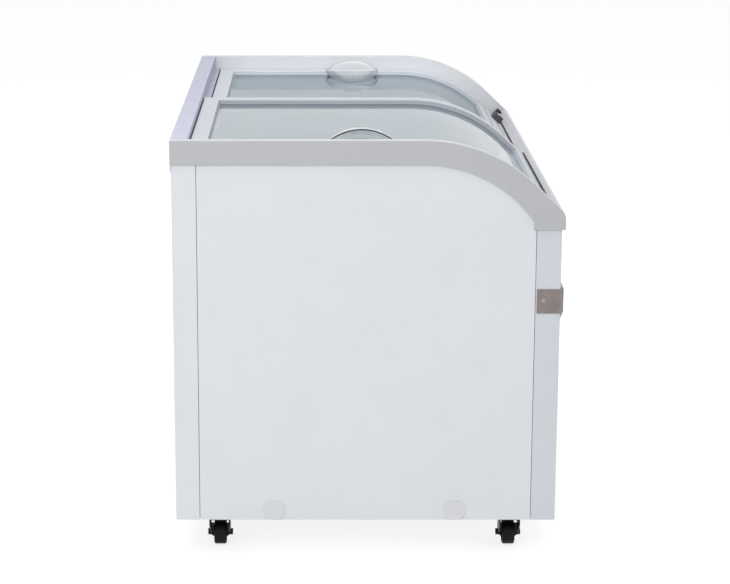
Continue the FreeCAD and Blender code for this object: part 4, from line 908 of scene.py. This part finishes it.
@dataclass
class CabinetShell(Assembly):
    """Skins, base tray, liner and foam."""

    plug_rim: float = 0.6 * MM
    plug_sides: int = 48
    screw_radius: float = 3.4 * MM
    screw_inset: float = 22 * MM
    screw_drop: float = 88 * MM
    screw_rows: int = 4
    tray_inset: float = 11 * MM
    tray_columns: int = 5
    tape: float = 0.15 * MM
    tape_gap: float = 0.05 * MM
    facing_up: float = 0.5

    def build(self) -> None:
        """Dress the skins, tape the foam, and add plug rims and screws."""
        for node in ("left_side_panel", "right_side_panel", "rear_panel"):
            self.soften(node, WHITE_PAINT, "white_steel")
        # The front panel's darker paint is painted shade
        self.soften("front_panel", FRONT_PAINT_SHADED, "white_steel")
        self.soften("base_tray", GALVANISED, "galvanised")
        self.soften("inner_liner", LINER_SHEET, "liner")
        self.dress("foam_insulation", RIGID_FOAM)
        self.foam_tape()
        self.dress("evaporator_coil", COPPER)
        self.soften("side_plugs", CAP_WHITE, "grey_plastic")
        self.plug_rims()
        self.rear_screws()
        self.tray_screws()

    def foam_tape(self) -> None:
        """White tape on the foam's top, in sight at the liner's round corners."""
        bm = self.shape_of("foam_insulation")
        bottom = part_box("front_trim")[0].z
        others = [
            f for f in bm.faces
            if f.normal.z < self.facing_up or f.calc_center_median().z < bottom
        ]
        bmesh.ops.delete(bm, geom=others, context="FACES")
        bmesh.ops.translate(bm, vec=Vector((0, 0, self.tape_gap)), verts=bm.verts)
        bmesh.ops.solidify(bm, geom=list(bm.faces), thickness=-self.tape)
        bmesh.ops.recalc_face_normals(bm, faces=bm.faces)
        self.fit("foam_top_tape", [bm], CAP_WHITE, "grey_plastic")

    def plug_rims(self) -> None:
        """A moulded rim round the face of each of the four side plugs."""
        low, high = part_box("side_plugs")
        radius = (high.z - low.z) / 2
        middle_z = (high.z + low.z) / 2
        reach = radius - self.plug_rim
        rims = []
        for x in (low.x, high.x):
            for y in (low.y + radius, high.y - radius):
                centre = Vector((x, y, middle_z))
                rim = hoop_mesh(centre, Axis.X.vector, reach, self.plug_rim, self.plug_sides)
                rims.append(rim)
        self.fit("side_plug_rims", rims, CAP_WHITE, "grey_plastic")

    def rear_screws(self) -> None:
        """Screws down both edges of the rear panel."""
        low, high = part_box("rear_panel")
        seats = []
        for x in (low.x + self.screw_inset, high.x - self.screw_inset):
            for i in range(self.screw_rows):
                share = (i + 0.5) / self.screw_rows
                z = low.z + (high.z - self.screw_drop - low.z) * share
                seats.append(Vector((x, high.y, z)))
        self.screw_on("rear_panel_screws", seats, Axis.Y.vector, self.screw_radius)

    def tray_screws(self) -> None:
        """Screws along both long edges of the tray's underside."""
        low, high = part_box("base_tray")
        seats = []
        for y in (low.y + self.tray_inset, high.y - self.tray_inset):
            for i in range(self.tray_columns):
                x = low.x + (high.x - low.x) * (i + 0.5) / self.tray_columns
                seats.append(Vector((x, y, low.z)))
        self.screw_on("tray_screws", seats, -Axis.Z.vector, self.screw_radius)


@dataclass
class RimTrims(Assembly):
    """The mouldings round the top, with their track seals, stop and lock."""

    edge: float = 0.7 * MM
    wall_run: float = 66.4 * MM
    seal_inset: float = 13 * MM
    seal_gap: float = 0.05 * MM
    upper_seal: float = 1.1 * MM
    upper_drops: Pair = (9.4 * MM, 12.6 * MM)
    lower_seal: float = 0.3 * MM
    lower_drops: Pair = (22 * MM, 26.4 * MM)
    lower_inset: float = 104 * MM

    def build(self) -> None:
        """Dress the trims and the fittings in the open track."""
        for node in ("left_end_trim", "right_end_trim", "front_trim"):
            self.soften(node, TRIM_GREY, "trim")
        self.soften("rear_trim", TRIM_LAVENDER, "rear_trim")
        self.soften("track_stop", SEAL_RUBBER, "rubber")
        self.soften("lock_body", BLACK_PLASTIC, "black_plastic")
        self.track_seals()

    def track_seals(self) -> None:
        """Black seals on the wall ahead of the upper track, over the shut lid and beyond it."""
        trim_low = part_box("front_trim")[0]
        lid_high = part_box("left_lid_inner_frame")[1]
        lock_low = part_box("lock_body")[0]
        wall = RIM.along_of_run(self.wall_run) - self.seal_gap
        over_lid = RIM.strip(
            (trim_low.x + self.seal_inset, lid_high.x), (wall - self.upper_seal, wall),
            self.upper_drops,
        )
        in_open = RIM.strip(
            (lid_high.x + self.lower_inset, lock_low.x - self.seal_gap),
            (wall - self.lower_seal, wall), self.lower_drops,
        )
        self.fit("front_track_seals", [over_lid, in_open], SEAL_RUBBER, "rubber")


@dataclass
class SlidingLid(Assembly):
    """One curved glass lid with its frame bars, glazing gasket, brush seals and cup pull."""

    side: str = "left"
    pane: PaneFinish = NEAR_GLASS
    drop: float = 13 * MM
    run: float = 64 * MM
    brush: float = 1.9 * MM
    brush_inset: float = 1.0 * MM
    gasket: float = 1.8 * MM
    gasket_rise: float = 1.2 * MM
    gasket_end: float = 23 * MM
    pane_drop: float = 10.6 * MM
    pull_y: float = 12 * MM
    pull_rise: float = 37 * MM
    pull_arch: float = 101.9 * MM
    pull_half_width: float = 64 * MM
    pull_wall: float = 2.5 * MM
    pull_steps: int = 48
    buffer: float = 3 * MM
    buffer_length: float = 18 * MM
    buffer_front: float = 21 * MM
    buffer_rear: float = 8 * MM
    buffer_top: float = 3 * MM
    buffer_bottom: float = 13 * MM

    def build(self) -> None:
        """Dress the frame, pane and pull, then add seals, buffers and the pull's bead."""
        for bar in ("outer", "inner", "rear", "front"):
            self.soften(self.own(f"{bar}_frame"), LID_GREY, "lid_frame")
        self.soften(self.own("glass"), self.pane, "lid_glass")
        self.soften(self.own("handle"), PULL_CLEAR, "handle")
        self.dress(self.own("gliders"), NYLON)
        self.brush_seals()
        self.glazing_gasket()
        self.end_buffers()
        self.pull_rim()

    def own(self, piece: str) -> str:
        """Name of a piece of this lid."""
        return f"{self.side}_lid_{piece}"

    def span(self) -> Pair:
        """Reach of the whole lid across.

        Returns:
            Its lowest and highest x.
        """
        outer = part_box(self.own("outer_frame"))
        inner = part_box(self.own("inner_frame"))
        return min(outer[0].x, inner[0].x), max(outer[1].x, inner[1].x)

    def brush_seals(self) -> None:
        """Brush strips that close the gaps behind the rear bar and ahead of the front bar."""
        low_x, high_x = self.span()
        inset = self.brush_inset
        xs = (low_x + inset, high_x - inset)
        low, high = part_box(self.own("rear_frame"))
        rear = box_mesh(
            Vector((xs[0], high.y - inset, low.z + inset)),
            Vector((xs[1], high.y + self.brush, high.z - inset)),
        )
        start = RIM.along_of_run(self.run)
        drops = (self.drop + inset, self.drop + high.z - low.z - inset)
        front = RIM.strip(xs, (start - inset, start + self.brush), drops)
        self.fit(self.own("brush_seals"), [rear, front], BRISTLES, "rubber")

    def glazing_gasket(self) -> None:
        """Thin rubber bead on the pane along all four bars."""
        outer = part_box(self.own("outer_frame"))
        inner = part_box(self.own("inner_frame"))
        left, right = (outer, inner) if self.side == "left" else (inner, outer)
        low_x, high_x = left[1].x, right[0].x
        pane = self.drop + self.pane_drop
        drops = (pane - self.gasket_rise, pane)
        start = RIM.along_of_y(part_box(self.own("rear_frame"))[0].y)
        end = RIM.along_of_run(self.run - self.gasket_end)
        width = self.gasket
        beads = [
            RIM.strip((low_x, low_x + width), (start, end), drops),
            RIM.strip((high_x - width, high_x), (start, end), drops),
            RIM.strip((low_x + width, high_x - width), (start, start + width), drops),
            RIM.strip((low_x + width, high_x - width), (end - width, end), drops),
        ]
        self.fit(self.own("gasket"), beads, GASKET, "rubber")

    def end_buffers(self) -> None:
        """Rubber buffers on the end of the lid that runs to the middle."""
        low_x, high_x = self.span()
        at_left = (low_x - self.buffer, low_x)
        at_right = (high_x, high_x + self.buffer)
        xs = at_right if self.side == "left" else at_left
        drops = (self.drop + self.buffer_top, self.drop + self.buffer_bottom)
        rear_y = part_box(self.own("rear_frame"))[1].y
        starts = (
            RIM.along_of_run(self.run - self.buffer_front),
            RIM.along_of_y(rear_y) + self.buffer_rear,
        )
        pads = [RIM.strip(xs, (start, start + self.buffer_length), drops) for start in starts]
        self.fit(self.own("buffers"), pads, SEAL_RUBBER, "rubber")

    def pull_rim(self) -> None:
        """Rounded bead along the arched mouth of the pull; its dark colour is painted shade for
        the dark line that shade and refraction draw along the clear lip.
        """
        low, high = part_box(self.own("handle"))
        mouth_x = low.x if self.side == "left" else high.x
        top_z = RIM.top - self.drop - self.pane_drop + self.pull_rise
        wall = self.pull_wall / 2
        centre = Vector((mouth_x, self.pull_y, top_z - self.pull_arch))
        sweep = 2 * math.asin(self.pull_half_width / self.pull_arch)
        reach = self.pull_arch - wall
        bead = hoop_mesh(centre, Axis.X.vector, reach, wall, self.pull_steps, sweep)
        self.fit(self.own("pull_rim"), [bead], PULL_EDGE_SHADE, "handle")


@dataclass
class Bumper(Assembly):
    """Rail across the front with its corner brackets."""

    def build(self) -> None:
        """Dress rail, brackets and screws."""
        self.soften("bumper_rail", TRIM_GREY, "trim")
        self.soften("bumper_brackets", BRACKET_STEEL, "bracket")
        self.dress("bracket_screws", BRACKET_SCREW)


@dataclass
class AirGrilles(Assembly):
    """Front and rear grilles with their corner screws, and the cord gland."""

    edge: float = 0.3 * MM
    screw_radius: float = 2.6 * MM
    screw_inset: float = 5.0 * MM

    def build(self) -> None:
        """Dress both grilles and screw them on."""
        self.soften("front_grille", GREY_PLASTIC, "grey_plastic")
        self.soften("rear_grille", BLACK_PLASTIC, "black_plastic")
        self.dress("cord_gland", BLACK_PLASTIC)
        self.corner_screws("front_grille", -Axis.Y.vector)
        self.corner_screws("rear_grille", Axis.Y.vector)

    def corner_screws(self, node: str, out: Vector) -> None:
        """Four screws in the corners of a grille's flange.

        Args:
            node: the grille.
            out: direction that it faces.
        """
        low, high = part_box(node)
        y = low.y if out.y < 0 else high.y
        seats = [
            Vector((x, y, z))
            for x in (low.x + self.screw_inset, high.x - self.screw_inset)
            for z in (low.z + self.screw_inset, high.z - self.screw_inset)
        ]
        self.screw_on(node + "_screws", seats, out, self.screw_radius)


@dataclass
class ControlPanel(Assembly):
    """Recessed control panel with dial marks, lamps and screws."""

    edge: float = 0.3 * MM
    recess_face: float = 2 * MM
    mark_count: int = 10
    mark_sweep: float = math.radians(270)
    mark_reach: float = 21 * MM
    mark_length: float = 1.6 * MM
    mark_growth: float = 1.4 * MM
    mark_half_width: float = 0.45 * MM
    mark_height: float = 0.15 * MM
    screw_radius: float = 2.2 * MM
    screw_inset: float = 3.2 * MM

    def build(self) -> None:
        """Dress the panel, lay the dial's marks and add the screws."""
        self.soften("control_panel", GREY_PLASTIC, "grey_plastic")
        self.dress("indicator_lamps", GREEN_LENS)
        self.dial_marks()
        self.panel_screws()

    def dial_marks(self) -> None:
        """Short raised marks round the knob, growing along its sweep."""
        centre = middle_of("thermostat_knob")
        centre.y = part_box("control_panel")[1].y - self.recess_face
        marks = []
        for i in range(self.mark_count):
            share = i / (self.mark_count - 1)
            tip = self.mark_reach + self.mark_length + self.mark_growth * share
            bar = box_mesh(
                Vector((-self.mark_half_width, -self.mark_height, self.mark_reach)),
                Vector((self.mark_half_width, 0.0, tip)),
            )
            turn = Matrix.Rotation(share * self.mark_sweep, 3, "Y")
            bmesh.ops.rotate(bar, matrix=turn, verts=bar.verts)
            bmesh.ops.translate(bar, vec=centre, verts=bar.verts)
            marks.append(bar)
        self.fit("dial_marks", marks, DIAL_GREY, "black_plastic")

    def panel_screws(self) -> None:
        """A screw above and below the recess, in the flange's middle."""
        low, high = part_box("control_panel")
        middle_x = (low.x + high.x) / 2
        seats = [
            Vector((middle_x, low.y, z))
            for z in (low.z + self.screw_inset, high.z - self.screw_inset)
        ]
        self.screw_on("control_panel_screws", seats, -Axis.Y.vector, self.screw_radius)


@dataclass
class MachineBay(Assembly):
    """Compressor, condenser, fan motor and pipes behind the grilles."""

    edge: float = 0.5 * MM
    bead: float = 1.3 * MM
    plate: float = 3 * MM
    shell_radius: float = 72 * MM
    seam_half: float = 4 * MM

    def build(self) -> None:
        """Dress the machinery and add weld beads."""
        self.soften("compressor", BLACK_ENAMEL, "black_steel")
        self.dress("compressor_feet", TREAD_RUBBER)
        self.soften("terminal_box", BLACK_PLASTIC, "black_plastic")
        self.dress("condenser", BLACK_ENAMEL)
        self.soften("fan_shroud", GALVANISED, "galvanised")
        self.dress("fan_motor", BLACK_ENAMEL)
        self.dress("filter_drier", COPPER)
        self.dress("refrigerant_pipes", COPPER)
        self.soften("machine_bulkhead", GALVANISED, "galvanised")
        self.weld_beads()

    def weld_beads(self) -> None:
        """Bead above and below the compressor's seam."""
        low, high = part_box("compressor")
        centre = middle_of("compressor_feet")
        seam_z = (high.z - low.z - self.plate) / 2 + low.z + self.plate
        reach = self.shell_radius + self.bead / 2
        beads = []
        for rise in (-self.seam_half, self.seam_half):
            centre.z = seam_z + rise
            beads.append(hoop_mesh(centre, Axis.Z.vector, reach, self.bead))
        self.fit("compressor_weld_beads", beads, BLACK_ENAMEL, "black_steel")


@dataclass
class FanGuard(Assembly):
    """Wire guard between the condenser and the fan, pegged to the shroud."""

    wire: float = 1.0 * MM
    gap: float = 4.5 * MM
    rings: tuple[int, ...] = (22, 36, 50, 64, 78)
    ring_sides: int = 44
    bar_sides: int = 10
    spokes: int = 4
    turn: float = 0.5
    spoke_rise: float = 1.6 * MM
    spoke_middle: float = 53 * MM
    spoke_length: float = 66 * MM
    peg_rise: float = 2.4 * MM
    peg_reach: float = 85 * MM
    peg_length: float = 5.2 * MM

    def build(self) -> None:
        """Bend the rings, then lay the spokes with a peg on each."""
        hub = middle_of("fan_blade")
        hub.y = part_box("condenser")[1].y + self.gap
        pieces = [
            hoop_mesh(hub, Axis.Y.vector, radius * MM, self.wire, self.ring_sides)
            for radius in self.rings
        ]
        hub.y += self.spoke_rise
        behind = Vector((0, self.peg_rise, 0))
        for i in range(self.spokes):
            angle = i * math.tau / self.spokes + self.turn
            out = Vector((math.cos(angle), 0.0, math.sin(angle)))
            spoke = hub + out * self.spoke_middle
            pieces.append(disc_mesh(spoke, out, self.wire, self.spoke_length, self.bar_sides))
            peg = hub + behind + out * self.peg_reach
            pieces.append(
                disc_mesh(peg, Axis.Y.vector, self.wire, self.peg_length, self.bar_sides)
            )
        self.fit("fan_guard", pieces, BLACK_ENAMEL, "black_steel")


@dataclass
class FanLead(Assembly):
    """Lead from the terminal box to the fan motor."""

    radius: float = 2.2 * MM
    exit_inset: float = 12 * MM
    exit_rise: float = 20 * MM
    exit_run: float = 24 * MM
    exit_bend: Pair = (8 * MM, 40 * MM)
    droop: float = 46 * MM
    entry_bend: Pair = (20 * MM, 70 * MM)
    entry_run: float = 30 * MM

    def build(self) -> None:
        """Lead out of the box, down, along the floor and up into the motor."""
        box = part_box("terminal_box")[0]
        start = Vector((box.x + self.exit_inset, box.y, box.z + self.exit_rise))
        end = middle_of("fan_motor")
        end.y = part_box("fan_motor")[1].y
        low_z = start.z - self.droop
        points = [
            start,
            start + Vector((0, -self.exit_run, 0)),
            Vector((start.x - self.exit_bend[0], start.y - self.exit_bend[1], low_z)),
            Vector((end.x - self.entry_bend[0], end.y + self.entry_bend[1], low_z)),
            end + Vector((0, self.entry_run, 0)),
            end,
        ]
        self.fit("fan_lead", [wire_mesh(points, self.radius)], BLACK_PLASTIC, "black_plastic")


@dataclass
class Knob(Assembly):
    """Thermostat knob."""

    def build(self) -> None:
        """Dress the knob."""
        self.soften("thermostat_knob", BLACK_PLASTIC, "black_plastic")


@dataclass
class Fan(Assembly):
    """Fan rotor."""

    edge: float = 0.3 * MM

    def build(self) -> None:
        """Dress the rotor."""
        self.soften("fan_blade", FAN_METAL, "fan")


@dataclass
class LockCylinder(Assembly):
    """Key barrel."""

    def build(self) -> None:
        """Dress the barrel."""
        self.dress("lock_cylinder", SCREW_STEEL)


@dataclass
class Caster:
    """A swivel caster: fork and wheel ride on bodies of their own."""

    frame: dict
    corner: str
    edge: float = 0.3 * MM
    guard_gap: float = 0.8 * MM
    guard_reach: float = 18.4 * MM
    guard_rise: float = 3.0 * MM
    guard_height: float = 14.0 * MM
    guard_back: float = 9 * MM
    guard_front: float = 6 * MM
    ring_reach: float = 4.5 * MM
    ring_radius: float = 13.5 * MM
    ring_wire: float = 0.8 * MM
    ring_sides: int = 32

    def build(self) -> None:
        """Dress the fork and the wheel, then add hub rings and thread guards."""
        fork = Assembly(self.frame, f"{self.corner}_fork", self.edge)
        fork.soften(f"{self.corner}_caster_fork", BLACK_ZINC, "black_steel")
        wheel = Assembly(self.frame, f"{self.corner}_wheel", self.edge)
        wheel.soften(f"{self.corner}_caster_wheel", TREAD_RUBBER, "rubber")
        self.hub_rings(wheel)
        self.thread_guards(fork)

    def hub_rings(self, wheel: Assembly) -> None:
        """A moulded ring on both faces of the wheel.

        Args:
            wheel: the wheel's assembly.
        """
        centre = middle_of(f"{self.corner}_caster_wheel")
        aside = Vector((0, self.ring_reach, 0))
        rings = [
            hoop_mesh(place, Axis.Y.vector, self.ring_radius, self.ring_wire, self.ring_sides)
            for place in (centre - aside, centre + aside)
        ]
        wheel.fit(f"{self.corner}_wheel_rings", rings, TREAD_RUBBER, "rubber")

    def thread_guards(self, fork: Assembly) -> None:
        """A black guard inside each arm of the fork, beside the wheel.

        Args:
            fork: the fork's assembly.
        """
        low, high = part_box(f"{self.corner}_caster_wheel")
        centre = (low + high) / 2
        inner = (high.y - low.y) / 2 + self.guard_gap
        bottom = centre.z + self.guard_rise
        xs = (centre.x - self.guard_back, centre.x + self.guard_front)
        guards = []
        for side in (-1, 1):
            ys = sorted((centre.y + side * inner, centre.y + side * self.guard_reach))
            least = Vector((xs[0], ys[0], bottom))
            most = Vector((xs[1], ys[1], bottom + self.guard_height))
            guards.append(box_mesh(least, most, self.edge))
        fork.fit(f"{self.corner}_thread_guards", guards, BLACK_PLASTIC, "black_plastic")


@dataclass
class CasterPlates(Assembly):
    """Fixed plates of the four casters."""

    def build(self) -> None:
        """Dress the plates."""
        self.soften("caster_plates", BLACK_ZINC, "zinc")


@dataclass(frozen=True)
class Lamp:
    """A soft lamp: its size, its power in watts, the place it faces and its beam's angle."""

    name: str
    place: Place
    width: float
    height: float
    power: float
    target: Place = (0.0, 0.0, 0.5)
    beam: float = math.pi

    def hang(self) -> None:
        """Put the lamp in its place."""
        data = bpy.data.lights.new(self.name, "AREA")
        data.spread = self.beam
        data.shape = "RECTANGLE"
        data.size = self.width
        data.size_y = self.height
        data.energy = self.power
        lamp = bpy.data.objects.new(self.name, data)
        bpy.context.collection.objects.link(lamp)
        lamp.location = self.place
        lamp.rotation_mode = "QUATERNION"
        way = Vector(self.target) - Vector(self.place)
        lamp.rotation_quaternion = way.to_track_quat("-Z", "Y")


@dataclass(frozen=True)
class Studio:
    """Pale floor, white surroundings, soft lamps and the camera."""

    camera_place: Place = (-4.476, 0.1046, 1.5499)
    pitch: float = 0.2168
    focal_px: float = 2047.3
    frame_px: float = 730.0
    shift: Pair = (0.0695, -0.1)
    sensor: float = 36.0
    sight: float = 100.0
    ambient: float = 0.56
    ambient_tint: Colour = (0.98, 0.99, 1.0)
    floor_size: float = 40.0
    floor_bounce: float = 0.7
    floor_shade: float = 0.42
    floor_glow: float = 0.74
    lamps: tuple[Lamp, ...] = (
        Lamp("overhead", (-0.6, 0.3, 4.2), width=3.2, height=3.2, power=82.0),
        Lamp("near_end", (-3.2, 1.0, 2.4), width=1.6, height=1.6, power=31.0),
        Lamp("front", (-0.6, -4.6, 2.4), width=2.4, height=2.4, power=34.0),
        Lamp(
            "far_wall", (-3.2, 0.0, 2.05), width=0.75, height=0.2, power=0.3,
            target=(0.6, 0.0, 0.86), beam=math.radians(6),
        ),
    )

    def build(self) -> None:
        """Set up the display, floor, surroundings, lamps and camera."""
        bpy.context.scene.view_settings.view_transform = "Standard"
        self.floor()
        self.surroundings()
        for lamp in self.lamps:
            lamp.hang()
        self.camera()

    def floor(self) -> None:
        """Wide pale floor that shows white to the camera but keeps the freezer's shadow."""
        bm = bmesh.new()
        bmesh.ops.create_grid(bm, x_segments=1, y_segments=1, size=self.floor_size)
        mesh = bpy.data.meshes.new("studio_floor")
        bm.to_mesh(mesh)
        bm.free()
        floor = bpy.data.objects.new("studio_floor", mesh)
        bpy.context.collection.objects.link(floor)
        made = bpy.data.materials.new("studio_floor")
        made.use_nodes = True
        board = NodeBoard(made.node_tree)
        plain = board.add("BsdfDiffuse")
        plain.inputs["Color"].default_value = (*[self.floor_bounce] * 3, 1.0)
        shown = board.add("BsdfDiffuse")
        shown.inputs["Color"].default_value = (*[self.floor_shade] * 3, 1.0)
        glow = board.add("Emission")
        glow.inputs["Strength"].default_value = self.floor_glow
        lifted = board.add("AddShader")
        board.join(shown.outputs["BSDF"], lifted.inputs[0])
        board.join(glow.outputs["Emission"], lifted.inputs[1])
        board.show(plain.outputs["BSDF"], lifted.outputs["Shader"], "OutputMaterial")
        mesh.materials.append(made)

    def surroundings(self) -> None:
        """White world for the eye and a soft even light for the object."""
        world = bpy.data.worlds.new("studio")
        bpy.context.scene.world = world
        world.use_nodes = True
        board = NodeBoard(world.node_tree)
        soft = board.add("Background")
        soft.inputs["Color"].default_value = (*self.ambient_tint, 1.0)
        soft.inputs["Strength"].default_value = self.ambient
        white = board.add("Background")
        white.inputs["Color"].default_value = (1.0, 1.0, 1.0, 1.0)
        white.inputs["Strength"].default_value = 1.0
        board.show(soft.outputs["Background"], white.outputs["Background"], "OutputWorld")

    def camera(self) -> None:
        """Camera beyond the near end, looking along the length."""
        data = bpy.data.cameras.new("photo_view")
        data.sensor_width = self.sensor
        data.lens = self.focal_px / self.frame_px * self.sensor
        data.shift_x, data.shift_y = self.shift
        data.clip_end = self.sight
        camera = bpy.data.objects.new("photo_view", data)
        bpy.context.collection.objects.link(camera)
        camera.location = self.camera_place
        camera.rotation_euler = (math.pi / 2 - self.pitch, 0.0, -math.pi / 2)
        bpy.context.scene.camera = camera


def main(frame: dict) -> None:
    """Build every sub-assembly in order and report it.

    Args:
        frame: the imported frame.
    """
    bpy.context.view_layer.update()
    left_lid = SlidingLid(frame, "left_lid")
    # The far lid's glass carries a darker tint as painted shade
    right_lid = SlidingLid(
        frame, "right_lid", side="right", pane=FAR_GLASS_SHADED, drop=31 * MM, run=24 * MM
    )
    steps: list[tuple[str, Callable[[], None]]] = [
        ("cabinet shell", CabinetShell(frame).build),
        ("rim trims", RimTrims(frame).build),
        ("left lid", left_lid.build),
        ("right lid", right_lid.build),
        ("bumper", Bumper(frame).build),
        ("air grilles", AirGrilles(frame).build),
        ("control panel", ControlPanel(frame).build),
        ("machine bay", MachineBay(frame).build),
        ("fan guard", FanGuard(frame).build),
        ("fan lead", FanLead(frame).build),
        ("thermostat knob", Knob(frame, "thermostat_knob").build),
        ("fan", Fan(frame, "fan_blade").build),
        ("lock cylinder", LockCylinder(frame, "lock_cylinder").build),
        ("caster plates", CasterPlates(frame).build),
    ]
    for corner in ("front_left", "front_right", "rear_left", "rear_right"):
        steps.append((f"{corner} caster", Caster(frame, corner).build))
    steps.append(("studio", Studio().build))
    for name, build in steps:
        build()
        log.info("built %s", name)


if __name__ == "__main__":
    logging.basicConfig(level=logging.INFO, format="%(message)s")
    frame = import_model()
    main(frame)
